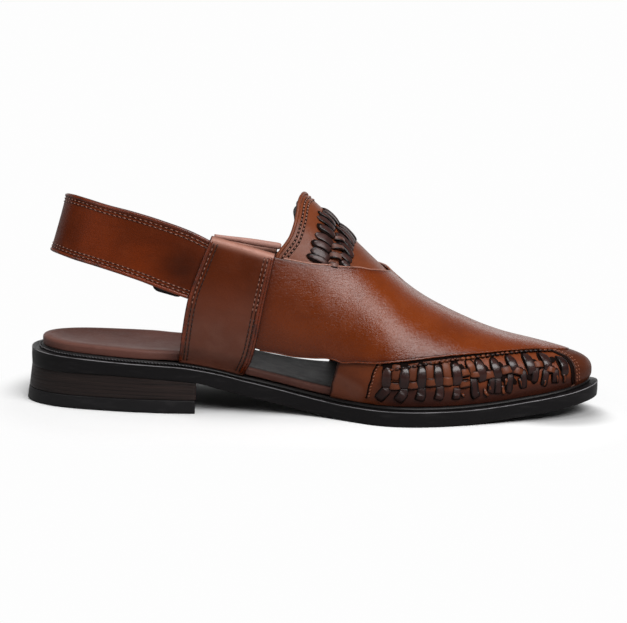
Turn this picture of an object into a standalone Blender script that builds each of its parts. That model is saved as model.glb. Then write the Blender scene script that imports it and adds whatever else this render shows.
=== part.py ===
"""Peshawari chappal, left shoe of a pair, EU 42. Lengths are in millimetres until the last step, which writes metres.
X runs from heel to toe, +Y is the little-toe side, Z is up, and the origin is on the floor at the middle of the box."""

import math

import bmesh
import bpy
import numpy as np

for old in list(bpy.data.objects):
    bpy.data.objects.remove(old, do_unlink=True)

# ---------------------------------------------------------------- driving sizes
overallLength = 300.6  # from the back of the top lift to the tip of the sole
frameShift = 150.3  # from the back of the heel to the origin
seatSetback = 2.3  # the sole starts this far in front of the top lift's back
rollInset = 3.8  # edge of the sole to the raised roll that the upper stands on
rollHeight = 1.4
featherInset = 4.8  # edge of the sole to the foot of the upper
seatGap = 0.3  # free play left between two pieces that touch
bandWall = 1.8
vampGap = 0.55
vampWall = 1.25
tongueWall = 1.7
underGap = 0.2  # the toe band and the tongue lie this far under the last
liftHeight = 7.0
breastMedial = 90.5  # heel length on the big-toe side
breastLateral = 85.0
breastHollow = 1.6
footbedRim = 4.1
plyWall = 1.4  # one layer of the side strap
eyeGap = 2.9  # room for the back strap between the two layers
backStrapWall = 2.3
fastenerWall = 1.8
buckleRod = 3.0

# ---------------------------------------------------------------- sections along the sole
# distance from the back of the heel, then half widths to the edge of the sole
soleRows = [
    # along, medial, lateral
    (2.3, 0.0, 0.0),
    (4.0, 9.0, 9.0),
    (8.5, 16.4, 16.4),
    (15, 22.2, 22.0),
    (20, 25.0, 25.0),
    (30, 28.3, 28.8),
    (41, 30.6, 31.0),
    (51, 32.3, 32.2),
    (62, 33.5, 33.0),
    (75, 34.1, 33.2),
    (88, 33.9, 33.0),
    (100, 32.5, 32.8),
    (112, 30.9, 33.0),
    (125, 30.1, 34.2),
    (140, 31.0, 38.2),
    (155, 35.0, 44.2),
    (170, 42.8, 49.4),
    (185, 50.2, 51.8),
    (195, 51.8, 50.8),
    (205, 51.3, 48.8),
    (215, 49.4, 46.2),
    (226, 46.4, 42.8),
    (247, 39.6, 34.8),
    (262, 34.5, 27.9),
    (274, 30.6, 21.8),
    (284, 26.3, 15.6),
    (290, 22.2, 10.8),
    (296, 16.6, 4.6),
    (300.6, 5.0, -5.0),
]
# heights of the sole's upper and lower face
heightRows = [
    # along, upper, lower
    (0, 28.6, 19.2),
    (20, 27.5, 19.2),
    (45, 26.2, 19.1),
    (67, 25.3, 18.3),
    (82, 24.5, 17.3),
    (92, 23.1, 16.0),
    (103, 20.8, 12.9),
    (113, 18.1, 10.1),
    (123, 15.7, 7.6),
    (134, 13.2, 5.2),
    (144, 11.0, 3.1),
    (154, 9.3, 1.4),
    (165, 8.2, 0.3),
    (175, 8.0, 0.0),
    (215, 7.9, 0.0),
    (226, 8.0, 0.3),
    (236, 8.4, 0.9),
    (247, 9.2, 1.8),
    (257, 10.2, 2.8),
    (268, 11.5, 4.0),
    (278, 12.9, 5.6),
    (290, 14.8, 7.5),
    (300.6, 17.0, 9.4),
]
# the last that the upper is drawn on, by x
ridgeRows = [
    # x, height of the ridge, sideways place of the ridge
    (-76, 168, 1.0),
    (-50, 148, 1.0),
    (-20, 122, 1.0),
    (-6.3, 112.3, 1.0),
    (4, 103.4, 1.0),
    (13, 95.0, 1.0),
    (22, 86.8, 0.8),
    (29, 80.2, 0.5),
    (36, 73.8, 0.3),
    (42, 68.6, 0.0),
    (49, 62.8, -0.4),
    (58, 56.8, -1.0),
    (69, 51.0, -1.6),
    (81, 45.6, -2.4),
    (92, 41.3, -3.0),
    (104, 37.8, -3.7),
    (116, 35.6, -4.3),
    (128, 33.9, -4.8),
    (150, 31.6, -5.0),
]
lastRows = [
    # x, medial bulge past the foot of the upper, lateral bulge, rise to the widest line, squareness
    (-76, 6.3, 6.8, 33, 2.0),
    (-50, 8.8, 8.3, 37, 2.0),
    (-20, 11.6, 7.4, 36, 2.0),
    (0, 9.8, 3.6, 30, 2.0),
    (20, 4.5, 2.0, 18, 2.0),
    (35, 1.9, 1.5, 10, 2.1),
    (50, 1.5, 1.5, 7, 2.2),
    (90, 1.5, 1.5, 6, 2.5),
    (120, 1.5, 1.5, 5, 2.9),
    (146, 1.5, 1.5, 4, 3.0),
]
bendStart = 60.0  # past here the sections fan round towards the toe
ridgeEnd = 118.0
lowShare = 0.35  # share of a half section that lies under the widest line

# ---------------------------------------------------------------- edges of the pieces
# share 0 is the foot of the upper and 1 is its ridge, along a half section; x is that of the section's foot
bandEdgeRows = [
    # share, x of the woven band's rear edge
    (0.0, 6.6),
    (0.1, 7.5),
    (0.22, 9.0),
    (0.31, 10.3),
    (0.45, 16.0),
    (0.6, 24.0),
    (0.8, 38.0),
    (1.0, 47.0),
]
collarRows = [
    # share, x of the collar on the medial side, x on the lateral side
    (0.44, -20.2, -14.0),
    (0.54, -19.9, -13.0),
    (0.572, -18.0, -12.4),
    (0.602, -15.8, -11.8),
    (0.645, -13.3, -11.2),
    (0.712, -11.3, -10.6),
    (0.773, -10.3, -10.2),
    (0.858, -9.5, -9.5),
    (0.95, -7.9, -7.9),
    (1.0, -6.8, -6.8),
]
vampFootRows = [
    # x, share of the vamp's lower edge on the medial side, share on the lateral side
    (-27.6, 0.18, 0.17),
    (-14, 0.195, 0.185),
    (-1, 0.25, 0.24),
    (9, 0.325, 0.31),
    (21, 0.39, 0.38),
    (40, 0.46, 0.45),
    (65, 0.545, 0.54),
    (87, 0.63, 0.62),
    (107, 0.735, 0.72),
    (118, 0.79, 0.775),
    (128, 0.825, 0.81),
    (139, 0.845, 0.83),
    (147, 0.843, 0.83),
    (150.3, 0.81, 0.81),
]
vampThroatRows = [
    # x, share of the vamp's upper edge on the medial side, share on the lateral side
    (-27.6, 0.53, 0.48),
    (-20, 0.54, 0.49),
    (-12, 0.56, 0.51),
    (-3.5, 0.592, 0.55),
    (5.5, 0.645, 0.61),
    (14, 0.705, 0.68),
    (20, 0.755, 0.735),
    (25.5, 0.80, 0.765),
    (30, 0.85, 0.80),
    (35, 0.915, 0.865),
    (39.5, 1.0, 1.0),
]
# edges of the side straps: height above the floor, x of the rear edge, x of the front edge
medialStrapRows = [(19, -70.5, -35.3), (35, -68.2, -29.8), (61, -63.8, -24.8), (79, -57.4, -21.3), (95, -51.3, -18.3)]
lateralStrapRows = [(19, -72.5, -38.0), (35, -70.0, -31.0), (52, -67.0, -27.0), (70, -60.5, -23.3), (86, -54.0, -20.2)]
# height of the fold at the top of each side strap and of the floor of its eye: at the rear edge, at the front edge
foldHeights = {-1: (93.9, 86.5), 1: (83.6, 78.4)}
eyeFloors = {-1: (57.2, 47.2), 1: (47.2, 40.6)}
# middle of the back strap, from its medial end round the heel towards the buckle
backStrapRows = [
    # x, y, z, half width
    (-34, -36.3, 68.8, 14.0),
    (-47, -36.6, 72.0, 14.8),
    (-58, -36.3, 75.4, 15.4),
    (-68, -35.2, 79.4, 16.3),
    (-83, -32.4, 84.5, 16.6),
    (-97, -28.7, 88.1, 16.4),
    (-110, -24.0, 91.0, 16.1),
    (-121, -18.4, 93.4, 15.8),
    (-129, -11.6, 94.8, 15.0),
    (-133, -4.0, 94.8, 14.3),
    (-133, 4.0, 93.0, 14.2),
    (-129, 11.6, 90.2, 14.0),
    (-121, 18.6, 86.2, 13.5),
    (-110, 25.2, 81.1, 13.1),
    (-100, 30.2, 76.7, 12.8),
]
strapUp = (0.27, 0.0, 0.96)  # which way the strap's width runs
buckleCentre = (-77.0, 38.0, 68.1)
buckleAlong = (-1.0, -0.16, 0.30)  # from the front bar to the rear bar
barReach = 8.0  # buckle's centre to each bar
frameHalfHeight = 16.1
fastenerHalfWidth = 12.6
fastenerTip = 0.93  # how far round the back strap the fastening strap reaches
keeperWidth = 8.0
keeperWall = 1.3


def monotone(rows, column, places):
    """Smooth curve through one column of a table, with no overshoot between rows."""
    table = np.array(rows, float)
    x, y = table[:, 0], table[:, column]
    gap = np.diff(x)
    rise = np.diff(y) / gap
    slope = np.zeros(len(x))
    slope[0], slope[-1] = rise[0], rise[-1]
    for i in range(1, len(x) - 1):
        if rise[i - 1] * rise[i] > 0:
            a, b = 2 * gap[i] + gap[i - 1], gap[i] + 2 * gap[i - 1]
            slope[i] = (a + b) / (a / rise[i - 1] + b / rise[i])
    at = np.clip(np.asarray(places, float), x[0], x[-1])
    i = np.clip(np.searchsorted(x, at, side="right") - 1, 0, len(x) - 2)
    t = (at - x[i]) / gap[i]
    return (
        y[i] * (1 + 2 * t) * (1 - t) ** 2
        + gap[i] * slope[i] * t * (1 - t) ** 2
        + y[i + 1] * t * t * (3 - 2 * t)
        + gap[i] * slope[i + 1] * t * t * (t - 1)
    )


# ---------------------------------------------------------------- the sole's outline and the last
def turnOf(along):
    """Outline parameter, 0 at the heel and 1 at the toe, which keeps points close where the outline turns."""
    first, last = soleRows[0][0], soleRows[-1][0]
    share = (np.asarray(along, float) - first) / (last - first)
    return np.arccos(np.clip(1 - 2 * share, -1, 1)) / math.pi


outlineTurns = np.linspace(0, 1, 601)


def outlineTable():
    first, last = soleRows[0][0], soleRows[-1][0]
    x = first + (last - first) * (1 - np.cos(math.pi * outlineTurns)) / 2 - frameShift
    sides = []
    for column, sign in ((1, -1), (2, 1)):
        rows = [(float(turnOf(row[0])), row[column]) for row in soleRows]
        y = monotone(rows, 1, outlineTurns) * sign
        for _ in range(60):
            y[1:-1] = (y[:-2] + 2 * y[1:-1] + y[2:]) / 4
        sides.append(np.stack([x, y], 1))
    loop = np.concatenate([sides[0], sides[1][-2:0:-1]])
    along = np.roll(loop, -1, 0) - np.roll(loop, 1, 0)
    along /= np.linalg.norm(along, axis=1)[:, None]
    inward = np.stack([-along[:, 1], along[:, 0]], 1)
    return loop, inward


outlineLoop, outlineInward = outlineTable()


def outlineAt(side, turn, inset=0.0):
    """Plan points of the sole's edge, moved inwards by inset. side is -1 for medial and +1 for lateral."""
    count = len(outlineTurns) - 1
    place = np.asarray(turn, float) * count
    place = place if side < 0 else (2 * count - place) % (2 * count)
    i = np.floor(place).astype(int) % len(outlineLoop)
    k = (i + 1) % len(outlineLoop)
    t = (place - np.floor(place))[..., None]
    spot = outlineLoop[i] * (1 - t) + outlineLoop[k] * t
    normal = outlineInward[i] * (1 - t) + outlineInward[k] * t
    return spot + normal * np.asarray(inset, float)[..., None]


def upperFace(x):
    return monotone(heightRows, 1, np.asarray(x) + frameShift)


def lowerFace(x):
    return monotone(heightRows, 2, np.asarray(x) + frameShift)


def turnAtX(x):
    return turnOf(np.asarray(x, float) + frameShift)


def halfSection(side, turn, share):
    """Points of the last from the foot of the upper, share 0, to its ridge, share 1."""
    foot = outlineAt(side, turn, np.full(np.shape(turn), featherInset))
    fx, fy = foot[..., 0], foot[..., 1]
    footZ = upperFace(fx) + rollHeight + seatGap
    end = frameShift - featherInset
    bend = (end - ridgeEnd) / (end - bendStart) ** 2
    rx = fx - bend * np.maximum(0, fx - bendStart) ** 2
    ry = monotone(ridgeRows, 2, rx)
    reach = np.hypot(fx - rx, fy - ry)
    dx, dy = (fx - rx) / reach, (fy - ry) / reach
    bulge = monotone(lastRows, 1 if side < 0 else 2, fx)
    rise = monotone(lastRows, 3, fx)
    power = monotone(lastRows, 4, fx)
    low = np.clip(share / lowShare, 0, 1)
    high = np.clip((share - lowShare) / (1 - lowShare), 0, 1) * math.pi / 2
    under = reach + bulge * np.sin(low * math.pi / 2)
    over = (reach + bulge) * np.clip(np.cos(high), 0, 1) ** (2 / power)
    out = np.where(share < lowShare, under, over)
    x, y = rx + dx * out, ry + dy * out
    top = monotone(ridgeRows, 1, x)
    z = np.where(
        share < lowShare,
        footZ + rise * low,
        footZ + rise + (top - footZ - rise) * np.clip(np.sin(high), 0, 1) ** (2 / power),
    )
    return np.stack([x, y, z], -1)


def lastPoint(turn, girth):
    """girth runs 0 to 1 up the medial side and 1 to 2 down the lateral side."""
    turn, girth = np.broadcast_arrays(np.asarray(turn, float), np.asarray(girth, float))
    medial = halfSection(-1, turn, np.clip(girth, 0, 1))
    lateral = halfSection(1, turn, np.clip(2 - girth, 0, 1))
    return np.where((girth <= 1)[..., None], medial, lateral)


def outward(turn, girth):
    """Unit normal of the last. It is taken just short of the toe, where the two flanks meet."""
    turn = np.minimum(turn, 0.992)
    near = np.where(np.abs(girth - 1) < 0.05, np.where(girth < 1, 0.95, 1.05), girth)
    low, high = np.clip(turn - 0.004, 0.2, 1), np.clip(turn + 0.004, 0.2, 1)
    lengthwise = lastPoint(high, near) - lastPoint(low, near)
    around = lastPoint(turn, np.clip(girth + 0.02, 0, 2)) - lastPoint(turn, np.clip(girth - 0.02, 0, 2))
    normal = np.cross(lengthwise, around)
    return normal / np.linalg.norm(normal, axis=-1)[..., None]


def skin(turn, girth, off=0.0):
    """Points held off the last along its normal."""
    turn, girth = np.broadcast_arrays(np.asarray(turn, float), np.asarray(girth, float))
    meet = np.clip((turn - 0.96) / 0.04, 0, 1)[..., None] ** 2
    normal = outward(turn, girth) + meet * outward(turn, 2 - girth)
    normal /= np.linalg.norm(normal, axis=-1)[..., None]
    return lastPoint(turn, girth) + normal * np.asarray(off, float)[..., None]


def sidePoint(side, x, z, off=0.0):
    """A point on the flank of the last at x and height z, held off it by off."""
    x, z = np.broadcast_arrays(np.asarray(x, float), np.asarray(z, float))
    turn = turnAtX(x)
    low, high = np.zeros(x.shape), np.full(x.shape, 0.98)
    for _ in range(30):
        share = (low + high) / 2
        above = halfSection(side, turn, share)[..., 2] > z
        low, high = np.where(above, low, share), np.where(above, share, high)
    girth = (low + high) / 2
    return skin(turn, girth if side < 0 else 2 - girth, off)


# ---------------------------------------------------------------- mesh helpers
def newObject(name, points, faces, look):
    """Writes one closed body in metres, with doubled points joined and faces out."""
    mesh = bpy.data.meshes.new(name)
    mesh.from_pydata([tuple(p) for p in np.asarray(points, float) / 1000], [], faces)
    body = bpy.data.objects.new(name, mesh)
    bpy.context.scene.collection.objects.link(body)
    work = bmesh.new()
    work.from_mesh(mesh)
    bmesh.ops.remove_doubles(work, verts=work.verts, dist=2e-6)
    bmesh.ops.dissolve_degenerate(work, edges=work.edges, dist=1e-6)
    bmesh.ops.triangulate(work, faces=work.faces)
    bmesh.ops.recalc_face_normals(work, faces=work.faces)
    work.to_mesh(mesh)
    work.free()
    for face in mesh.polygons:
        face.use_smooth = True
    mesh.materials.append(newMaterial(name, *look))
    return body


def newMaterial(name, colour, roughness, metallic):
    material = bpy.data.materials.new(name)
    material.use_nodes = True
    shader = material.node_tree.nodes["Principled BSDF"]
    shader.inputs["Base Color"].default_value = (*colour, 1)
    shader.inputs["Roughness"].default_value = roughness
    shader.inputs["Metallic"].default_value = metallic
    return material


def ringFaces(count, size, closed=False):
    faces = []
    for i in range(count if closed else count - 1):
        for j in range(size):
            a, b = i * size, (i + 1) % count * size
            k = (j + 1) % size
            faces.append((a + j, a + k, b + k, b + j))
    return faces


def pairedCap(start, size, flip):
    """Closes a ring whose second half runs back under its first half."""
    faces = []
    for j in range(size // 2 - 1):
        quad = (start + j, start + j + 1, start + size - 2 - j, start + size - 1 - j)
        faces.append(quad[::-1] if flip else quad)
    return faces


def ringBody(name, rings, look, capStart=True, capEnd=True, closed=False):
    rings = np.asarray(rings, float)
    count, size = rings.shape[:2]
    faces = ringFaces(count, size, closed)
    if capStart and not closed:
        faces += pairedCap(0, size, True)
    if capEnd and not closed:
        faces += pairedCap((count - 1) * size, size, False)
    return newObject(name, rings.reshape(-1, 3), faces, look)


def shellBody(name, outer, inner, look, seam=()):
    """A wall between two grids of the same shape. seam lists the sides that close onto themselves."""
    rows, columns = outer.shape[:2]
    points = np.concatenate([outer.reshape(-1, 3), inner.reshape(-1, 3)])
    back = rows * columns

    def at(i, j, layer=0):
        return layer * back + i * columns + j

    faces = []
    for i in range(rows - 1):
        for j in range(columns - 1):
            faces.append((at(i, j), at(i, j + 1), at(i + 1, j + 1), at(i + 1, j)))
            faces.append((at(i, j, 1), at(i + 1, j, 1), at(i + 1, j + 1, 1), at(i, j + 1, 1)))
    edges = {
        "first": [(at(0, j), at(0, j + 1)) for j in range(columns - 1)],
        "last": [(at(rows - 1, j), at(rows - 1, j + 1)) for j in range(columns - 1)],
        "left": [(at(i, 0), at(i + 1, 0)) for i in range(rows - 1)],
        "right": [(at(i, columns - 1), at(i + 1, columns - 1)) for i in range(rows - 1)],
    }
    for side, pairs in edges.items():
        if side not in seam:
            faces += [(a, b, b + back, a + back) for a, b in pairs]
    return newObject(name, points, faces, look)


def spaced(first, last, count, ease=1.0):
    """Evenly spaced shares, closer together at the end when ease is over 1."""
    return last - (last - first) * (1 - np.linspace(0, 1, count)) ** ease


# ---------------------------------------------------------------- materials: colour, roughness, metallic
blackRubber = ((0.012, 0.011, 0.012), 0.42, 0.0)
stackedLeather = ((0.030, 0.021, 0.019), 0.55, 0.0)
brownLeather = ((0.165, 0.060, 0.028), 0.42, 0.0)
vampLeather = ((0.235, 0.098, 0.058), 0.38, 0.0)
paddedLeather = ((0.150, 0.078, 0.062), 0.5, 0.0)
blackMetal = ((0.02, 0.02, 0.022), 0.32, 1.0)


# ---------------------------------------------------------------- pieces
soleStations = [2.3, 2.6, 3.4, 4.8, 6.8, 9.4, 12.6, 16.5, 21, 26, 32, 39, 47, 56, 66, 77, 88, 96, 104, 112, 120, 128]
soleStations += [136, 144, 152, 160, 168, 176, 184, 192, 200, 208, 216, 224, 232, 240, 248, 256, 263, 270, 276]
soleStations += [281, 285.5, 289.5, 292.8, 295.5, 297.6, 299.2, 300.2, 300.6]
footbedInsetRows = [(0, 5.3), (62, 5.6), (76, 7.6), (301, 7.6)]  # along, inset


def withHeight(plan, height):
    return np.column_stack([plan, height])


def buildSole():
    """Plate with a vertical edge, and the raised roll that the upper and the footbed stand on."""
    turns = turnOf(soleStations)
    corners = []
    for side in (-1, 1):
        edge = outlineAt(side, turns, np.zeros(len(turns)))
        roll = outlineAt(side, turns, np.full(len(turns), rollInset))
        corners.append(
            [
                withHeight(edge, lowerFace(edge[:, 0])),
                withHeight(edge, upperFace(edge[:, 0])),
                withHeight(roll, upperFace(roll[:, 0])),
                withHeight(roll, upperFace(roll[:, 0]) + rollHeight),
            ]
        )
    medial, lateral = corners
    rings = [[c[i] for c in medial] + [c[i] for c in lateral[::-1]] for i in range(len(turns))]
    return ringBody("outsole", rings, blackRubber, False, False)


def heelRings(inset, backwards, taper, shorter, floor, top):
    """Rings of one heel layer, from its back to its hollowed breast. taper pulls its upper edge in."""
    across = np.linspace(0, 1, 6)
    rings = []
    for share in np.linspace(0, 1, 20) ** 1.7:
        ring = []
        for level, pull in ((0, inset), (1, inset + taper)):
            ends = []
            for side, breast in ((-1, breastMedial), (1, breastLateral)):
                along = seatSetback + (breast - shorter - seatSetback) * share
                spot = outlineAt(side, turnOf(along), pull)
                spot[0] -= backwards * max(0.0, 1 - (along - seatSetback) / 45) ** 2
                ends.append(spot)
            line = ends[0] + (ends[1] - ends[0]) * across[:, None]
            line[:, 0] -= breastHollow * 4 * across * (1 - across) * share**3
            height = floor if level == 0 else top
            line = withHeight(line, height(line[:, 0]))
            ring.append(line if level == 0 else line[::-1])
        rings.append(np.concatenate(ring))
    return rings


def buildHeel():
    """Stack of leather lifts under the seat, and the rubber top lift that reaches back past it."""
    stack = heelRings(1.0, 0.0, 0.2, 0.0, lambda x: x * 0 + liftHeight + seatGap, lambda x: lowerFace(x) - seatGap - 0.1)
    lift = heelRings(0.3, seatSetback + 0.3, 0.4, 0.5, lambda x: x * 0, lambda x: x * 0 + liftHeight)
    ringBody("heel_stack", stack, stackedLeather, False, True)
    ringBody("top_lift", lift, blackRubber, False, True)


def buildFootbed():
    """Padded footbed with a rounded rim and a dished seat."""
    stations = [a for i, a in enumerate(soleStations[::-1]) if a < 165 or i % 2 == 0][::-1]
    turns = turnOf(stations)
    sides = []
    for side in (-1, 1):
        plain = outlineAt(side, turns, np.zeros(len(turns)))
        inset = monotone(footbedInsetRows, 1, plain[:, 0] + frameShift)
        rim = outlineAt(side, turns, inset)
        base = upperFace(rim[:, 0]) + rollHeight + seatGap
        levels = [(0.0, 0.0), (0.0, footbedRim - 1.2), (0.5, footbedRim - 0.35), (1.5, footbedRim)]
        sides.append([withHeight(outlineAt(side, turns, inset + pull), base + lift) for pull, lift in levels])
    medial, lateral = sides
    dish = monotone([(2.3, 0), (25, 1.4), (60, 1.8), (110, 1.2), (170, 0.5), (300.6, 0)], 1, stations)
    rings = []
    for i in range(len(turns)):
        rise = [c[i] for c in medial]
        fall = [c[i] for c in lateral[::-1]]
        floor = []
        for share in (0.2, 0.5, 0.8):
            spot = rise[-1] + (fall[0] - rise[-1]) * share
            floor.append(spot - np.array([0, 0, dish[i] * math.sin(math.pi * share) ** 0.7]))
        rings.append(rise + floor + fall)
    return ringBody("footbed", rings, paddedLeather, False, False)


def mirrored(rows, column, girth):
    """Reads a table's medial or lateral column, by the flank that girth is on."""
    share = np.minimum(girth, 2 - girth)
    return np.where(girth <= 1, monotone(rows, column, share), monotone(rows, column + 1, share))


def buildBand():
    """Toe band: the hollow front of the upper, open behind and underneath."""
    girths = np.concatenate([[0, 0.12, 0.24], np.linspace(0.35, 1, 11)])
    girths = np.concatenate([girths, 2 - girths[-2::-1]])
    rear = turnAtX(monotone(bandEdgeRows, 1, np.minimum(girths, 2 - girths)))
    turns = rear[None, :] + (1 - rear[None, :]) * spaced(0, 1, 22, 1.15)[:, None]
    grid = np.broadcast_to(girths, turns.shape)
    return shellBody("toe_band", skin(turns, grid, -underGap), skin(turns, grid, -underGap - bandWall), brownLeather, ("last",))


def buildTongue():
    """Tongue under the vamp's throat, from the collar to the toe band's rear edge."""
    girths = np.linspace(0.44, 1.56, 19)
    collar = mirrored(collarRows, 1, girths)
    front = monotone(bandEdgeRows, 1, np.minimum(girths, 2 - girths)) - 0.6
    turns = turnAtX(collar + (front - collar) * np.linspace(0, 1, 10)[:, None])
    grid = np.broadcast_to(girths, turns.shape)
    return shellBody("tongue", skin(turns, grid, -underGap), skin(turns, grid, -underGap - tongueWall), brownLeather)


def strapEdge(side, column, height):
    """x of a side strap's rear edge, column 1, or front edge, column 2."""
    return monotone(medialStrapRows if side < 0 else lateralStrapRows, column, height)


def wingX(side, share, start=-24.0):
    """x of the vamp's rear edge at a share: just in front of the side strap."""
    x = np.array(start)
    for _ in range(6):
        x = strapEdge(side, 2, halfSection(side, turnAtX(x), np.array(share))[..., 2]) + 0.75
    return float(x)


def buildVamp():
    """Vamp: one panel standing proud of the toe band and the tongue, and drawn on the same last as they are."""
    count, throat, ridge = 31, 12, 12
    points, faces = [], []
    for side, column in ((-1, 1), (1, 2)):
        footShare = float(monotone(vampFootRows, column, -27.0))
        footX = spaced(wingX(side, footShare), frameShift, count, 1.3)
        footTurn = np.append(turnAtX(footX[:-1]), 1.0)
        footShares = monotone(vampFootRows, column, footX)
        topShare = float(monotone(vampThroatRows, column, -20.0))
        throatX = np.linspace(wingX(side, topShare), 39.5, throat)
        ridgeX = spaced(39.5, frameShift, ridge + 1, 1.6)[1:]
        topTurn = np.concatenate([turnAtX(throatX), turnAtX(ridgeX[:-1]), np.ones(count - throat - ridge + 1)])
        drop = np.linspace(1, footShares[-1], count - throat - ridge + 1)
        topShares = np.concatenate([monotone(vampThroatRows, column, throatX), np.ones(ridge - 1), drop])
        climb = np.linspace(0, 1, 9)[:, None]
        turns = footTurn + (topTurn - footTurn) * climb
        shares = footShares + (topShares - footShares) * climb
        girths = shares if side < 0 else 2 - shares
        for off in (vampGap + vampWall, vampGap):
            points.append(skin(turns, girths, off).reshape(-1, 3))
        rows, size = turns.shape
        base = (0 if side < 0 else 2) * rows * size

        def at(i, j, layer=0):
            return base + layer * rows * size + i * size + j

        for layer in (0, 1):
            for i in range(rows - 1):
                for j in range(size - 1):
                    faces.append((at(i, j, layer), at(i, j + 1, layer), at(i + 1, j + 1, layer), at(i + 1, j, layer)))
        walls = [(at(0, j), at(0, j + 1)) for j in range(size - 1)]
        walls += [(at(i, 0), at(i + 1, 0)) for i in range(rows - 1)]
        walls += [(at(rows - 1, j), at(rows - 1, j + 1)) for j in range(throat - 1)]
        faces += [(a, b, b + rows * size, a + rows * size) for a, b in walls]
    return newObject("vamp", np.concatenate(points), faces, vampLeather)


def sideStrapSpots(side, across, level):
    """x and z of a side strap's middle face. across is 0 at its rear edge, and level is 0 at its foot, 1 at its fold."""
    topRear, topFront = (height - foldRadius for height in foldHeights[side])
    feet = [footHeight(strapEdge(side, column, 19.0)) for column in (1, 2)]
    rearZ = feet[0] + (topRear - feet[0]) * level
    frontZ = feet[1] + (topFront - feet[1]) * level
    rearX, frontX = strapEdge(side, 1, rearZ), strapEdge(side, 2, frontZ)
    x = rearX + (frontX - rearX) * across
    z = rearZ + (frontZ - rearZ) * across
    sag = footHeight(x) - feet[0] - (feet[1] - feet[0]) * across
    return x, z + sag * (1 - level) ** 2


def footHeight(x):
    return upperFace(x) + rollHeight + seatGap + 0.2


def smooth(low, high, x):
    t = np.clip((np.asarray(x, float) - low) / (high - low), 0, 1)
    return t * t * (3 - 2 * t)


foldCentre = 0.55  # how far off the last the middle of the back strap runs
eyeRadius = eyeGap / 2
foldRadius = eyeRadius + plyWall
outerPly = foldCentre + foldRadius  # how far off the last the outer face of a side strap stands


def buildSideStrap(side, name):
    """Side strap folded over at the top and stitched down below, which leaves an eye for the back strap."""
    floors = eyeFloors[side]
    low = footHeight(strapEdge(side, 1, 19.0))
    floorLevel = (floors[0] - low) / (foldHeights[side][0] - foldRadius - low)
    levels = np.concatenate([np.linspace(0, 1, 6)[:-1] * floorLevel, floorLevel + (1 - floorLevel) * eyeLevels])
    first = 5
    angles = np.linspace(0, math.pi, 9)[1:-1]
    outers, eyes = [], []
    for across in np.linspace(0, 1, 7):
        x, z = sideStrapSpots(side, across, levels)
        face = seatFace + (outerPly - seatFace) * smooth(0, 0.2, levels)
        opened = eyeGap * smooth(floorLevel, floorLevel + (1 - floorLevel) * eyeLevels[1], levels)
        solid = outerPly - 2 * plyWall
        lining = solid + (-2.0 - solid) * (1 - smooth(0, 0.3, levels)) - opened
        up, down = sidePoint(side, x, z, face), sidePoint(side, x, z, lining)
        eyeUp = sidePoint(side, x, z, outerPly - plyWall + 0 * levels)[first:]
        eyeDown = sidePoint(side, x, z, outerPly - plyWall - opened)[first:]
        rise = sidePoint(side, x[-1], z[-1], np.array(foldCentre)) - sidePoint(side, x[-2], z[-2], np.array(foldCentre))
        rise /= np.linalg.norm(rise)
        arcs = []
        for radius in (foldRadius, eyeRadius):
            spots = sidePoint(side, x[-1] + 0 * angles, z[-1] + 0 * angles, foldCentre + radius * np.cos(angles))
            arcs.append(spots + rise * (radius * np.sin(angles))[:, None])
        outers.append(np.concatenate([up, arcs[0], down[::-1]]))
        eyes.append(np.concatenate([eyeUp, arcs[1], eyeDown[::-1]]))
    outers, eyes = np.array(outers), np.array(eyes)
    count, size = outers.shape[:2]
    eyeSize = eyes.shape[1]
    shift = count * size
    faces = ringFaces(count, size)
    faces += [tuple(shift + v for v in face) for face in ringFaces(count, eyeSize)]
    for i in (0, count - 1):
        a, e = i * size, shift + i * eyeSize
        for k in range(first - 1):
            faces.append((a + k, a + k + 1, a + size - 2 - k, a + size - 1 - k))
        faces.append((a + first - 1, a + first, e, a + size - 1 - first, a + size - first))
        for k in range(eyeSize - 1):
            faces.append((a + first + k, a + first + k + 1, e + k + 1, e + k))
    return newObject(name, np.concatenate([outers.reshape(-1, 3), eyes.reshape(-1, 3)]), faces, brownLeather)


eyeLevels = np.array([0.0, 0.09, 0.3, 0.53, 0.77, 1.0])
seatFace = 0.6


# ---------------------------------------------------------------- back strap, buckle and fastening strap
def unit(vector):
    vector = np.asarray(vector, float)
    return vector / np.linalg.norm(vector, axis=-1)[..., None]


buckleA = unit(buckleAlong)
buckleW = unit(np.array(strapUp) - buckleA * np.dot(strapUp, buckleA))
buckleN = np.cross(buckleA, buckleW)
buckleN = buckleN * np.sign(buckleN[1])


def buckleSpot(along, across, out):
    return np.array(buckleCentre) + buckleA * along + buckleW * across + buckleN * out


def pathThrough(spots, count):
    """Even stations along a smooth line through spots, each x, y, z and any further columns."""
    spots = np.asarray(spots, float)
    run = np.concatenate([[0], np.cumsum(np.linalg.norm(np.diff(spots[:, :3], axis=0), axis=1))])
    slope = np.gradient(spots, run, axis=0)
    at = np.linspace(0, run[-1], count)
    i = np.clip(np.searchsorted(run, at, side="right") - 1, 0, len(run) - 2)
    gap = np.diff(run)[i][:, None]
    t = (at - run[i])[:, None] / gap
    return (
        spots[i] * (1 + 2 * t) * (1 - t) ** 2
        + gap * slope[i] * t * (1 - t) ** 2
        + spots[i + 1] * t * t * (3 - 2 * t)
        + gap * slope[i + 1] * t * t * (t - 1)
    )


def strapFrames(path):
    """Tangent, width and outward directions along a path."""
    along = unit(np.gradient(path[:, :3], axis=0))
    up = np.array(strapUp)
    width = unit(up - along * (along @ up)[:, None])
    out = unit(np.cross(width, along))
    return along, width, out


backStrapPath = pathThrough(
    backStrapRows + [(*buckleSpot(14, 0, 0), 12.8), (*buckleSpot(barReach, 0, 0), 12.8)], 49
)


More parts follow.
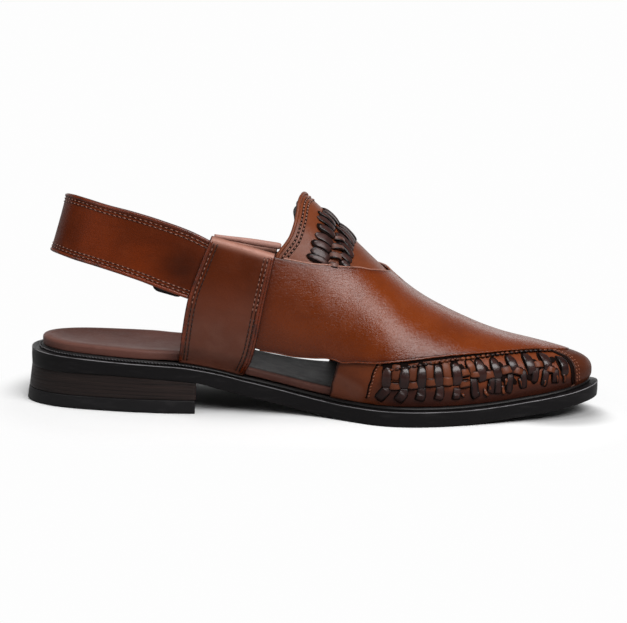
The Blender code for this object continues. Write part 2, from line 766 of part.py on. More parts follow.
def strapRings(path, outer, inner, inEye, side, corner=0.45):
    """Rings of a strap: half widths in the path's last column, faces held outer and inner off the path. inEye is 1
    where the strap follows the flank of the last on its given side, and 0 where it lies flat."""
    along, width, out = strapFrames(path)
    rings = []
    for i, spot in enumerate(path):
        half = spot[3]
        cut = min(corner, half / 2)
        places = np.array([-half, cut - half, -half / 3, half / 3, half - cut, half])
        middle = spot[:3] + width[i] * places[:, None]
        if inEye[i] > 0:
            flank = sidePoint(side, middle[:, 0], middle[:, 2], foldCentre)
            middle = middle + out[i] * (((flank - middle) @ out[i]) * inEye[i])[:, None]
        pull = np.array([cut, 0, 0, 0, 0, cut])[:, None]
        face = middle + out[i] * (outer[i] - pull)
        back = middle + out[i] * (inner[i] + pull)
        rings.append(np.concatenate([face, back[::-1]]))
    return rings


def rod(name, path, radius, look, closed, sides=8, up=(0.0, 0.0, 1.0)):
    """Round rod along a path."""
    path = np.asarray(path, float)
    if closed:
        along = unit(np.roll(path, -1, 0) - np.roll(path, 1, 0))
    else:
        along = unit(np.gradient(path, axis=0))
    across = unit(np.cross(np.array(up), along))
    over = np.cross(along, across)
    angles = (np.arange(sides) + 0.5) / sides * 2 * math.pi
    rings = [[p + a * radius * math.cos(t) + o * radius * math.sin(t) for t in angles] for p, a, o in zip(path, across, over)]
    return ringBody(name, rings, look, not closed, not closed, closed)


def cutter(name, spots):
    """A box or prism that a Boolean takes away. spots are two rings of the same size."""
    spots = np.asarray(spots, float)
    size = spots.shape[1]
    faces = ringFaces(2, size) + [tuple(range(size))[::-1], tuple(range(size, 2 * size))]
    body = newObject(name, spots.reshape(-1, 3), faces, blackMetal)
    body.hide_render = True
    body.display_type = "WIRE"
    return body


def cutAway(body, tool):
    step = body.modifiers.new(tool.name, "BOOLEAN")
    step.operation = "DIFFERENCE"
    step.solver = "EXACT"
    step.object = tool


def buildBackStrap():
    """Back strap from inside the medial eye, round the heel, to the buckle, where it is folded round the rear bar."""
    path = backStrapPath
    count = len(path)
    left = np.linalg.norm(path[:, :3] - path[-1, :3], axis=1)
    lateral = np.arange(count) > count // 2
    thick = np.where(lateral, 1 - smooth(15.5, 19, left), 0)
    half = backStrapWall / 2
    bulge = barHole + foldPly - half
    near = np.where(lateral, 1 - smooth(3.5, 9, left), 0)
    outer = half + bulge * near
    inner = -half - 1.5 * thick * (1 - near) - bulge * near
    inEye = np.where(lateral, 0, smooth(-86, -64, path[:, 0]))
    rings = strapRings(path, outer, inner, inEye, -1)
    endPath = [np.append(buckleSpot(barReach - a, 0, 0), 12.8) for a in (1.3, 2.4, 3.1)]
    for spot, size in zip(endPath, (0.92, 0.7, 0.38)):
        reach = (half + bulge) * size
        places = [-12.8, -12.4, -6.4, 6.4, 12.4, 12.8]
        pulls = [0.3, 0, 0, 0, 0, 0.3]
        shape = [(a, reach - c) for a, c in zip(places, pulls)]
        shape += [(a, c - reach) for a, c in zip(places[::-1], pulls)]
        rings.append([spot[:3] + buckleW * a + buckleN * b for a, b in shape])
    strap = ringBody("back_strap", rings, brownLeather)
    angles = np.arange(12) / 12 * 2 * math.pi
    ends = [[buckleSpot(barReach + barHole * math.cos(t), w, barHole * math.sin(t)) for t in angles] for w in (-20, 20)]
    cutAway(strap, cutter("bar_hole", ends))
    slot = [(-6, -6), (4.6, -6), (4.6, 6), (-6, 6)]
    ends = [[buckleSpot(barReach + a, w, n) for a, n in slot] for w in (-1.9, 1.9)]
    cutAway(strap, cutter("prong_slot", ends))
    return strap


barHole = buckleRod / 2 + seatGap + 0.1
foldPly = 1.6
prongRadius = 1.1
prongReach = buckleRod / 2 + seatGap + prongRadius  # centre of a bar to the middle of the prong on it


def fastenerSpots():
    """Middle of the fastening strap: out of the lateral eye, under the front bar, over the rear bar, along the strap."""
    spots = []
    for x, z in ((-34, 61.0), (-42, 62.3), (-50, 63.6), (-60, 65.4)):
        spots.append(sidePoint(1, x, z, np.array(foldCentre)))
    under = buckleRod / 2 + 2 * seatGap + fastenerWall / 2
    over = prongReach + prongRadius + seatGap + fastenerWall / 2
    for along, out in ((-barReach - 0.5, -under), (-barReach + 1.5, -under + 0.5), (0.5, 1.0), (barReach - 1, over)):
        spots.append(buckleSpot(along, 0, out))
    spots.append(buckleSpot(barReach + 3, 0, over))
    _, _, out = strapFrames(backStrapPath)
    lift = backStrapWall / 2 + seatGap + fastenerWall / 2
    count = len(backStrapPath)
    for back in (7, 9, 11, 13, 14):
        i = count - 1 - back
        spots.append(backStrapPath[i, :3] + out[i] * (lift + 0.1))
    return [(*spot, fastenerHalfWidth) for spot in spots]


def buildFastener():
    path = pathThrough(fastenerSpots(), 32)
    tip = np.linalg.norm(path[:, :3] - path[-1, :3], axis=1)
    path[:, 3] *= np.sqrt(np.clip(1 - np.clip(1 - (tip + 0.6) / 11, 0, 1) ** 2, 0.0, 1))
    half = np.full(len(path), fastenerWall / 2)
    inEye = smooth(-69, -64, path[:, 0])
    strap = ringBody("fastening_strap", strapRings(path, half, -half, inEye, 1), brownLeather)
    angles = np.arange(12) / 12 * 2 * math.pi
    clear = prongRadius + 0.4
    ends = [
        [buckleSpot(a, clear * math.cos(t), prongReach + clear * math.sin(t)) for t in angles]
        for a in (-barReach - 1, barReach + 1)
    ]
    cutAway(strap, cutter("prong_hole", ends))
    return strap


def buildBuckle():
    """Frame of round rod, a prong hooked round its rear bar, and the keeper that holds the strap's tip."""
    corners = [(1, 1), (-1, 1), (-1, -1), (1, -1)]
    radius = 3.0  # of the frame's corners
    path = []
    for k, (a, w) in enumerate(corners):
        for t in np.linspace(0, math.pi / 2, 4):
            turn = t + k * math.pi / 2
            path.append(
                buckleSpot(
                    a * (barReach - radius) + radius * math.cos(turn),
                    w * (frameHalfHeight - radius) + radius * math.sin(turn),
                    0,
                )
            )
    rod("buckle_frame", path, buckleRod / 2, blackMetal, True, 8, tuple(buckleN))
    hook = [
        buckleSpot(barReach - prongReach * math.cos(t), 0, -prongReach * math.sin(t))
        for t in np.linspace(0.25 * math.pi, 1.5 * math.pi, 9)
    ]
    straight = [buckleSpot(a, 0, prongReach) for a in (barReach - 3, 3, 0, -4, -barReach - 1, -barReach - 3.4)]
    rod("buckle_prong", hook + straight, prongRadius, blackMetal, False, 8, tuple(buckleW))


def buildKeeper():
    along, width, out = strapFrames(backStrapPath)
    i = len(backStrapPath) - 1 - keeperStation
    spot, t, w, n = backStrapPath[i, :3], along[i], width[i], out[i]
    low = -backStrapWall / 2 - seatGap - 0.2
    high = backStrapWall / 2 + 2 * seatGap + fastenerWall + 0.3
    half = backStrapPath[i, 3] + seatGap + 0.2
    rings = []
    for grow in (0.0, keeperWall):
        shape = [(-half - grow, low - grow), (half + grow, low - grow), (half + grow, high + grow), (-half - grow, high + grow)]
        rings.append([spot + w * a + n * b for a, b in shape])
    points, faces = [], []
    for shift in (-keeperWidth / 2, keeperWidth / 2):
        for ring in rings:
            points += [p + t * shift for p in ring]
    for j in range(4):
        k = (j + 1) % 4
        faces += [(j, k, 4 + k, 4 + j), (8 + j, 12 + j, 12 + k, 8 + k), (j, 8 + j, 8 + k, k), (4 + j, 4 + k, 12 + k, 12 + j)]
    return newObject("keeper", points, faces, brownLeather)


keeperStation = 11

# ---------------------------------------------------------------- build
buildSole()
buildHeel()
buildFootbed()
buildBand()
buildTongue()
buildVamp()
buildSideStrap(-1, "side_strap_medial")
buildSideStrap(1, "side_strap_lateral")
buildBackStrap()
buildFastener()
buildBuckle()
buildKeeper()
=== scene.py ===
import math

import bmesh
import bpy
import numpy as np
from mathutils import Matrix, Vector


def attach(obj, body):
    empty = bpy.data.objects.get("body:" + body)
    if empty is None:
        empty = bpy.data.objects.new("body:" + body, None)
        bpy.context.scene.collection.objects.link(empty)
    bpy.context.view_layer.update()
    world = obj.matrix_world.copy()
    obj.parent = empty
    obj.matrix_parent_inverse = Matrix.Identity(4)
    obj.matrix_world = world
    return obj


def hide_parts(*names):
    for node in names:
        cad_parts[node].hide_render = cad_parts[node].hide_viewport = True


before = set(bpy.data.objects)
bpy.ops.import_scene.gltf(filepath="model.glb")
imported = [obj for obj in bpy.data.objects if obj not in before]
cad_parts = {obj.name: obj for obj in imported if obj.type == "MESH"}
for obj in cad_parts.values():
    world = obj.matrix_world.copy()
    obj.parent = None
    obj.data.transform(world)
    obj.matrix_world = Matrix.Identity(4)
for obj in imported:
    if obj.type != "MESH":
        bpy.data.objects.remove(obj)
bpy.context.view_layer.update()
print("frame loaded")

# Peshawari chappal, left shoe. Lengths are millimetres until addMesh writes metres.
# X runs from heel to toe, +Y is the little-toe side, Z is up.

# shape of the sole and of the last
last = {
    "halfLength": 150.3,
    "rollInset": 3.8,
    "rollHeight": 1.4,
    "featherInset": 4.8,
    "seatGap": 0.3,
    "bendStart": 60.0,
    "ridgeEnd": 118.0,
    "lowShare": 0.35,
}
# along from the back of the heel, half width to the big-toe side, half width to the little-toe side
soleRows = [
    (2.3, 0.0, 0.0), (4.0, 9.0, 9.0), (8.5, 16.4, 16.4), (15, 22.2, 22.0), (20, 25.0, 25.0),
    (30, 28.3, 28.8), (41, 30.6, 31.0), (51, 32.3, 32.2), (62, 33.5, 33.0), (75, 34.1, 33.2),
    (88, 33.9, 33.0), (100, 32.5, 32.8), (112, 30.9, 33.0), (125, 30.1, 34.2), (140, 31.0, 38.2),
    (155, 35.0, 44.2), (170, 42.8, 49.4), (185, 50.2, 51.8), (195, 51.8, 50.8), (205, 51.3, 48.8),
    (215, 49.4, 46.2), (226, 46.4, 42.8), (247, 39.6, 34.8), (262, 34.5, 27.9), (274, 30.6, 21.8),
    (284, 26.3, 15.6), (290, 22.2, 10.8), (296, 16.6, 4.6), (300.6, 5.0, -5.0),
]
# along, height of the sole's upper face, height of its lower face
heightRows = [
    (0, 28.6, 19.2), (20, 27.5, 19.2), (45, 26.2, 19.1), (67, 25.3, 18.3), (82, 24.5, 17.3),
    (92, 23.1, 16.0), (103, 20.8, 12.9), (113, 18.1, 10.1), (123, 15.7, 7.6), (134, 13.2, 5.2),
    (144, 11.0, 3.1), (154, 9.3, 1.4), (165, 8.2, 0.3), (175, 8.0, 0.0), (215, 7.9, 0.0),
    (226, 8.0, 0.3), (236, 8.4, 0.9), (247, 9.2, 1.8), (257, 10.2, 2.8), (268, 11.5, 4.0),
    (278, 12.9, 5.6), (290, 14.8, 7.5), (300.6, 17.0, 9.4),
]
# x, height of the ridge, sideways place of the ridge
ridgeRows = [
    (-76, 168, 1.0), (-50, 148, 1.0), (-20, 122, 1.0), (-6.3, 112.3, 1.0), (4, 103.4, 1.0),
    (13, 95.0, 1.0), (22, 86.8, 0.8), (29, 80.2, 0.5), (36, 73.8, 0.3), (42, 68.6, 0.0),
    (49, 62.8, -0.4), (58, 56.8, -1.0), (69, 51.0, -1.6), (81, 45.6, -2.4), (92, 41.3, -3.0),
    (104, 37.8, -3.7), (116, 35.6, -4.3), (128, 33.9, -4.8), (150, 31.6, -5.0),
]
# x, bulge past the foot of the upper on the big-toe side, on the other side,
# rise to the widest line, squareness
lastRows = [
    (-76, 6.3, 6.8, 33, 2.0), (-50, 8.8, 8.3, 37, 2.0), (-20, 11.6, 7.4, 36, 2.0), (0, 9.8, 3.6, 30, 2.0),
    (20, 4.5, 2.0, 18, 2.0), (35, 1.9, 1.5, 10, 2.1), (50, 1.5, 1.5, 7, 2.2), (90, 1.5, 1.5, 6, 2.5),
    (120, 1.5, 1.5, 5, 2.9), (146, 1.5, 1.5, 4, 3.0),
]


def eased(values, slopes, gap, i, t):
    # cubic from values[i] to values[i + 1], with the slopes at both
    return (
        values[i] * (1 + 2 * t) * (1 - t) ** 2
        + gap * slopes[i] * t * (1 - t) ** 2
        + values[i + 1] * t * t * (3 - 2 * t)
        + gap * slopes[i + 1] * t * t * (t - 1)
    )


def curveThrough(rows, column, places):
    # smooth and without overshoot
    table = np.array(rows, float)
    x, y = table[:, 0], table[:, column]
    gap = np.diff(x)
    rise = np.diff(y) / gap
    slope = np.zeros(len(x))
    slope[0], slope[-1] = rise[0], rise[-1]
    for i in range(1, len(x) - 1):
        if rise[i - 1] * rise[i] > 0:
            a, b = 2 * gap[i] + gap[i - 1], gap[i] + 2 * gap[i - 1]
            slope[i] = (a + b) / (a / rise[i - 1] + b / rise[i])
    at = np.clip(np.asarray(places, float), x[0], x[-1])
    i = np.clip(np.searchsorted(x, at, side="right") - 1, 0, len(x) - 2)
    return eased(y, slope, gap[i], i, (at - x[i]) / gap[i])


def smooth(low, high, x):
    t = np.clip((np.asarray(x, float) - low) / (high - low), 0, 1)
    return t * t * (3 - 2 * t)


def unit(vector):
    vector = np.asarray(vector, float)
    return vector / np.maximum(np.linalg.norm(vector, axis=-1), 1e-9)[..., None]


def runAlong(path):
    # length walked at each point of a path
    return np.concatenate([[0], np.cumsum(np.linalg.norm(np.diff(path[:, :3], axis=0), axis=1))])


def turnOf(along):
    # 0 at the heel, 1 at the toe, close where the outline turns
    first, end = soleRows[0][0], soleRows[-1][0]
    share = (np.asarray(along, float) - first) / (end - first)
    return np.arccos(np.clip(1 - 2 * share, -1, 1)) / math.pi


def turnAtX(x):
    return turnOf(np.asarray(x, float) + last["halfLength"])


outlineSteps = 600


def makeOutline():
    turns = np.linspace(0, 1, outlineSteps + 1)
    first, end = soleRows[0][0], soleRows[-1][0]
    x = first + (end - first) * (1 - np.cos(math.pi * turns)) / 2 - last["halfLength"]
    sides = []
    for column, sign in ((1, -1), (2, 1)):
        y = curveThrough([(float(turnOf(row[0])), row[column]) for row in soleRows], 1, turns) * sign
        for _ in range(60):
            y[1:-1] = (y[:-2] + 2 * y[1:-1] + y[2:]) / 4
        sides.append(np.stack([x, y], 1))
    loop = np.concatenate([sides[0], sides[1][-2:0:-1]])
    along = unit(np.roll(loop, -1, 0) - np.roll(loop, 1, 0))
    return loop, np.stack([-along[:, 1], along[:, 0]], 1)


outlineLoop, outlineInward = makeOutline()


def outlineAt(side, turn, inset=0.0):
    # plan points of the sole's edge moved inwards; side is -1 for the big-toe side and 1 for the other
    place = np.asarray(turn, float) * outlineSteps
    place = place if side < 0 else (2 * outlineSteps - place) % (2 * outlineSteps)
    i = np.floor(place).astype(int) % len(outlineLoop)
    k = (i + 1) % len(outlineLoop)
    t = (place - np.floor(place))[..., None]
    spot = outlineLoop[i] * (1 - t) + outlineLoop[k] * t
    normal = outlineInward[i] * (1 - t) + outlineInward[k] * t
    return spot + normal * np.asarray(inset, float)[..., None]


def upperFace(x):
    return curveThrough(heightRows, 1, np.asarray(x) + last["halfLength"])


def lowerFace(x):
    return curveThrough(heightRows, 2, np.asarray(x) + last["halfLength"])


def halfSection(side, turn, share):
    # the last's surface from the foot of the upper, share 0, to the ridge, share 1
    foot = outlineAt(side, turn, np.full(np.shape(turn), last["featherInset"]))
    fx, fy = foot[..., 0], foot[..., 1]
    footZ = upperFace(fx) + last["rollHeight"] + last["seatGap"]
    end = last["halfLength"] - last["featherInset"]
    bend = (end - last["ridgeEnd"]) / (end - last["bendStart"]) ** 2
    rx = fx - bend * np.maximum(0, fx - last["bendStart"]) ** 2
    ry = curveThrough(ridgeRows, 2, rx)
    reach = np.hypot(fx - rx, fy - ry)
    dx, dy = (fx - rx) / reach, (fy - ry) / reach
    bulge = curveThrough(lastRows, 1 if side < 0 else 2, fx)
    rise = curveThrough(lastRows, 3, fx)
    power = curveThrough(lastRows, 4, fx)
    low = np.clip(share / last["lowShare"], 0, 1)
    high = np.clip((share - last["lowShare"]) / (1 - last["lowShare"]), 0, 1) * math.pi / 2
    under = reach + bulge * np.sin(low * math.pi / 2)
    over = (reach + bulge) * np.clip(np.cos(high), 0, 1) ** (2 / power)
    out = np.where(share < last["lowShare"], under, over)
    x, y = rx + dx * out, ry + dy * out
    widest = footZ + rise
    dome = widest + (curveThrough(ridgeRows, 1, x) - widest) * np.clip(np.sin(high), 0, 1) ** (2 / power)
    return np.stack([x, y, np.where(share < last["lowShare"], footZ + rise * low, dome)], -1)


def lastPoint(turn, girth):
    # girth runs 0 to 1 up the big-toe side and 1 to 2 down the other
    medial = halfSection(-1, turn, np.clip(girth, 0, 1))
    lateral = halfSection(1, turn, np.clip(2 - girth, 0, 1))
    return np.where((girth <= 1)[..., None], medial, lateral)


def outwardOf(turn, girth):
    turn = np.minimum(turn, 0.992)
    near = np.where(np.abs(girth - 1) < 0.03, np.where(girth < 1, 0.97, 1.03), girth)
    low, high = np.clip(turn - 0.004, 0.2, 1), np.clip(turn + 0.004, 0.2, 1)
    lengthwise = lastPoint(high, near) - lastPoint(low, near)
    around = lastPoint(turn, np.clip(girth + 0.012, 0, 2)) - lastPoint(turn, np.clip(girth - 0.012, 0, 2))
    return unit(np.cross(lengthwise, around))


def skin(turn, girth, off=0.0):
    # points and normals held off the last; both flanks share one normal where they meet at the toe
    turn, girth = np.broadcast_arrays(np.asarray(turn, float), np.asarray(girth, float))
    meet = np.clip((turn - 0.96) / 0.04, 0, 1)[..., None] ** 2
    normal = unit(outwardOf(turn, girth) + meet * outwardOf(turn, 2 - girth))
    return lastPoint(turn, girth) + normal * np.asarray(off, float)[..., None], normal


def sideSkin(side, x, z, off=0.0):
    # a point of the flank at x and height z, held off the last, and its normal
    x, z = np.broadcast_arrays(np.asarray(x, float), np.asarray(z, float))
    turn = turnAtX(x)
    low, high = np.zeros(x.shape), np.full(x.shape, 0.98)
    for _ in range(24):
        share = (low + high) / 2
        above = halfSection(side, turn, share)[..., 2] > z
        low, high = np.where(above, low, share), np.where(above, share, high)
    girth = (low + high) / 2
    return skin(turn, girth if side < 0 else 2 - girth, off)


print("last drawn")


def gridFaces(rows, columns, wrap=False, start=0, flip=False):
    faces = []
    for i in range(rows - 1):
        for j in range(columns if wrap else columns - 1):
            k = (j + 1) % columns
            quad = (
                start + i * columns + j,
                start + i * columns + k,
                start + (i + 1) * columns + k,
                start + (i + 1) * columns + j,
            )
            faces.append(quad[::-1] if flip else quad)
    return faces


def addMesh(name, points, faces, material, standsFor=(), values=None, join=0.002):
    # values are named numbers per point that the materials read
    mesh = bpy.data.meshes.new(name)
    mesh.from_pydata((np.asarray(points, float).reshape(-1, 3) / 1000).tolist(), [], faces)
    for key, numbers in (values or {}).items():
        attribute = mesh.attributes.new(key, "FLOAT", "POINT")
        attribute.data.foreach_set("value", np.asarray(numbers, np.float32).ravel())
    piece = bpy.data.objects.new(name, mesh)
    bpy.context.scene.collection.objects.link(piece)
    work = bmesh.new()
    work.from_mesh(mesh)
    if join:
        bmesh.ops.remove_doubles(work, verts=work.verts, dist=join / 1000)
        bmesh.ops.dissolve_degenerate(work, edges=work.edges, dist=1e-7)
    bmesh.ops.recalc_face_normals(work, faces=work.faces)
    work.to_mesh(mesh)
    work.free()
    mesh.shade_smooth()
    mesh.materials.append(material)
    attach(piece, "root")
    if standsFor:
        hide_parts(*standsFor)
    return piece


def turnSide(grid, side, back=False):
    # brings one side of a grid to its first row, or takes it back
    sideways = side in ("left", "right")
    if sideways and not back:
        grid = np.swapaxes(grid, 0, 1)
    if side in ("last", "right"):
        grid = grid[::-1]
    return np.swapaxes(grid, 0, 1) if sideways and back else grid


def rollSide(points, normals, gaps, side, radius, depth, share=None):
    # adds rows that roll a leather's edge over. gaps are distances from the edge
    points, normals, gaps = (turnSide(g, side) for g in (points, normals, gaps))
    edge, normal = points[0], normals[0]
    inward = unit(points[1] - edge)
    inward = unit(inward - normal * np.sum(inward * normal, -1, keepdims=True))
    weight = np.ones(len(edge)) if share is None else share
    turns = [math.radians(angle) for angle in (0, 25, 50, 72, 90)]
    steps = [(0.0, depth)] + [(radius * (1 - math.cos(a)), radius * (1 - math.sin(a))) for a in turns]
    rows = [edge + (inward * step - normal * drop) * weight[:, None] for step, drop in steps]
    found = [np.minimum(gaps[0], step) for step, _ in steps]
    reach = np.linalg.norm(points[1:] - edge, axis=-1)
    keep = points[1:] + inward * np.clip(radius * 1.3 - reach, 0, None)[..., None] * weight[:, None]
    points = np.concatenate([rows, keep])
    normals = np.concatenate([[normal] * len(steps), normals[1:]])
    gaps = np.concatenate([found, gaps[1:]])
    return tuple(turnSide(g, side, back=True) for g in (points, normals, gaps))


def edgeGaps(points, sides):
    # distance of each grid point from the nearest of the named sides
    gaps = np.full(points.shape[:2], 99.0)
    for side in sides:
        turned = turnSide(points, side)
        steps = np.linalg.norm(np.diff(turned, axis=0), axis=-1)
        run = np.concatenate([np.zeros((1, turned.shape[1])), np.cumsum(steps, 0)])
        gaps = np.minimum(gaps, turnSide(run[..., None], side, back=True)[..., 0])
    return gaps


def wallFaces(line, shift):
    # faces between a line of points and the same line in the next layer
    return [(a, a + shift, b + shift, b) for a, b in zip(line, line[1:])]


def aroundGrid(rows, columns):
    # the points round a grid's rim, starting at its first corner
    ring = [(0, j) for j in range(columns)] + [(i, columns - 1) for i in range(1, rows)]
    ring += [(rows - 1, j) for j in range(columns - 2, -1, -1)] + [(i, 0) for i in range(rows - 2, 0, -1)]
    return [i * columns + j for i, j in ring]


innerRound = 0.7  # the inner edge of a leather is rounded less than the outer one


def slabParts(points, normals, thickness, radius, sides):
    # one leather: outer face, rolled edges and inner face
    gaps = edgeGaps(points, sides)
    thick = np.broadcast_to(np.asarray(thickness, float), points.shape[:2])
    inner = points - normals * thick[..., None]
    radius = min(radius, float(np.min(thick)) / 2)
    outerSet, innerSet = (points, normals, gaps), (inner, -normals, gaps)
    for side in sides:
        edgeDepth = turnSide(thick, side)[0].mean() / 2
        outerSet = rollSide(*outerSet, side, radius, edgeDepth)
        innerSet = rollSide(*innerSet, side, radius * innerRound, edgeDepth)
    outer, inner = outerSet[0], innerSet[0]
    rows, columns = outer.shape[:2]
    count = rows * columns
    faces = gridFaces(rows, columns) + gridFaces(rows, columns, start=count, flip=True)
    ring = aroundGrid(rows, columns)
    faces += wallFaces(ring + ring[:1], count)
    values = np.concatenate([outerSet[2].ravel(), innerSet[2].ravel()])
    return np.concatenate([outer.reshape(-1, 3), inner.reshape(-1, 3)]), faces, values


def addSlab(name, points, normals, thickness, radius, sides, material, slot, standsFor=(), shade=None):
    # shade is worked out from the points: above 0 it is painted shade that darkens the leather where another
    # piece lies over it, below 0 a painted pale sheen
    spots, faces, gaps = slabParts(points, normals, thickness, radius, sides)
    inside = np.repeat([0.0, 1.0], len(spots) // 2)
    values = {"edgeGap": gaps, "inside": inside}
    if shade:
        values["shade"] = shade(spots) * (1 - inside)
    return addMesh(name, spots, faces, material, standsFor, values)


def gridNormals(points):
    down = np.gradient(points, axis=0)
    across = np.gradient(points, axis=1)
    return unit(np.cross(down, across))


def resample(path, step=None, count=None):
    path = np.asarray(path, float)
    run = runAlong(path)
    count = count or max(2, int(round(run[-1] / step)) + 1)
    at = np.linspace(0, run[-1], count)
    return np.stack([np.interp(at, run, path[:, c]) for c in range(path.shape[1])], 1)


def gather(parts):
    points, faces, shift = [], [], 0
    for spots, quads in parts:
        points.append(np.asarray(spots).reshape(-1, 3))
        faces += [tuple(v + shift for v in quad) for quad in quads]
        shift += len(points[-1])
    return np.concatenate(points), faces


def endFaces(rows, sides):
    return [tuple(range(sides))[::-1], tuple((rows - 1) * sides + k for k in range(sides))]


def ribbonParts(path, normals, width, height, sides=14, square=0.72):
    # closed strand of a flattened section; also gives each point's distance from the strand's own edges
    path = np.asarray(path, float)
    along = unit(np.gradient(path, axis=0))
    normals = unit(normals - along * np.sum(normals * along, -1, keepdims=True))
    across = np.cross(along, normals)
    width = np.broadcast_to(np.asarray(width, float), (len(path),))
    height = np.broadcast_to(np.asarray(height, float), (len(path),))
    angles = np.arange(sides) / sides * 2 * math.pi
    c = np.sign(np.cos(angles)) * np.abs(np.cos(angles)) ** square
    s = np.sign(np.sin(angles)) * np.abs(np.sin(angles)) ** square
    points = (
        path[:, None]
        + across[:, None] * (c[None, :] * width[:, None])[..., None]
        + normals[:, None] * (s[None, :] * height[:, None])[..., None]
    )
    faces = gridFaces(len(path), sides, wrap=True) + endFaces(len(path), sides)
    gaps = np.maximum((1 - np.abs(c))[None, :] * width[:, None], 0.02)
    return points.reshape(-1, 3), faces, gaps.ravel()


def addStrands(name, strands, material, gap=None):
    # gap, where given, is the distance from an edge that the leather is dyed for all over
    points, faces = gather([(spots, quads) for spots, quads, _ in strands])
    gaps = np.concatenate([found if gap is None else np.full(len(found), gap) for _, _, found in strands])
    return addMesh(name, points, faces, material, (), {"edgeGap": gaps}, join=0)


def addThread(name, stitches, material):
    spots, faces = gather(stitches)
    return addMesh(name, spots, faces, material, join=0)


def stitchParts(path, normals, pitch, length, radius, lift=0.0, lean=0.0):
    # a row of thread stitches, each arched out of its two holes
    joined = np.concatenate([np.asarray(path), np.asarray(normals)], 1)
    fine = resample(joined, step=0.3)
    fine[:, 3:] = unit(fine[:, 3:])
    run = runAlong(fine)
    parts = []
    arch = np.sin(np.linspace(0, math.pi, 7)) ** 0.6
    for start in np.arange(pitch * 0.4, run[-1] - length, pitch):
        at = start + length * np.linspace(0, 1, 7)
        spots = np.stack([np.interp(at, run, fine[:, c]) for c in range(6)], 1)
        up = unit(spots[:, 3:])
        sideways = np.cross(unit(spots[-1:, :3] - spots[:1, :3]), up)
        line = spots[:, :3] + up * (lift + radius * 1.5 * arch - radius * 1.1)[:, None]
        line += sideways * (lean * np.linspace(-0.5, 0.5, 7))[:, None]
        size = radius * (0.55 + 0.45 * arch)
        parts.append(ribbonParts(line, up, size, size, 6, 1.0)[:2])
    return parts


# shared effects first, then one material per finish
def addNode(tree, kind, feeds=None, **settings):
    node = tree.nodes.new("ShaderNode" + kind)
    for key, value in settings.items():
        setattr(node, key, value)
    for key, value in (feeds or {}).items():
        socket = node.inputs[key]
        if isinstance(value, bpy.types.NodeSocket):
            tree.links.new(value, socket)
        else:
            colour = isinstance(value, tuple) and socket.type == "RGBA"
            socket.default_value = (*value, 1) if colour else value
    return node


def mixed(tree, share, first, second):
    return addNode(tree, "Mix", {0: share, 6: first, 7: second}, data_type="RGBA").outputs[2]


def worked(tree, kind, first, second):
    return addNode(tree, "Math", {0: first, 1: second}, operation=kind).outputs[0]


def ranged(tree, value, low, high, to=(0.0, 1.0)):
    feeds = {"Value": value, "From Min": low, "From Max": high, "To Min": to[0], "To Max": to[1]}
    return addNode(tree, "MapRange", feeds, interpolation_type="SMOOTHSTEP").outputs[0]


def noise(tree, place, scale, detail=3.0, rough=0.55, bend=0.0):
    feeds = {"Vector": place, "Scale": scale, "Detail": detail, "Roughness": rough, "Distortion": bend}
    return addNode(tree, "TexNoise", feeds).outputs["Fac"]


def stretched(tree, place, factors):
    return addNode(tree, "Mapping", {"Vector": place, "Scale": factors}).outputs[0]


def objectPlace(tree):
    return addNode(tree, "TexCoord").outputs["Object"]


def valueOf(tree, name):
    return addNode(tree, "Attribute", attribute_name=name).outputs["Fac"]


def newGroup(name, colours, values=(), rough=True):
    # a shared effect: takes colours and values, gives a colour, a normal and mostly a change of roughness
    group = bpy.data.node_groups.new(name, "ShaderNodeTree")
    rows = [(key, "INPUT", "Color") for key in colours] + [(key, "INPUT", "Float") for key in values]
    rows += [("colour", "OUTPUT", "Color"), ("normal", "OUTPUT", "Vector")]
    rows += [("rough", "OUTPUT", "Float")] if rough else []
    for key, way, kind in rows:
        group.interface.new_socket(name=key, in_out=way, socket_type="NodeSocket" + kind)
    return group, group.nodes.new("NodeGroupInput").outputs, group.nodes.new("NodeGroupOutput").inputs


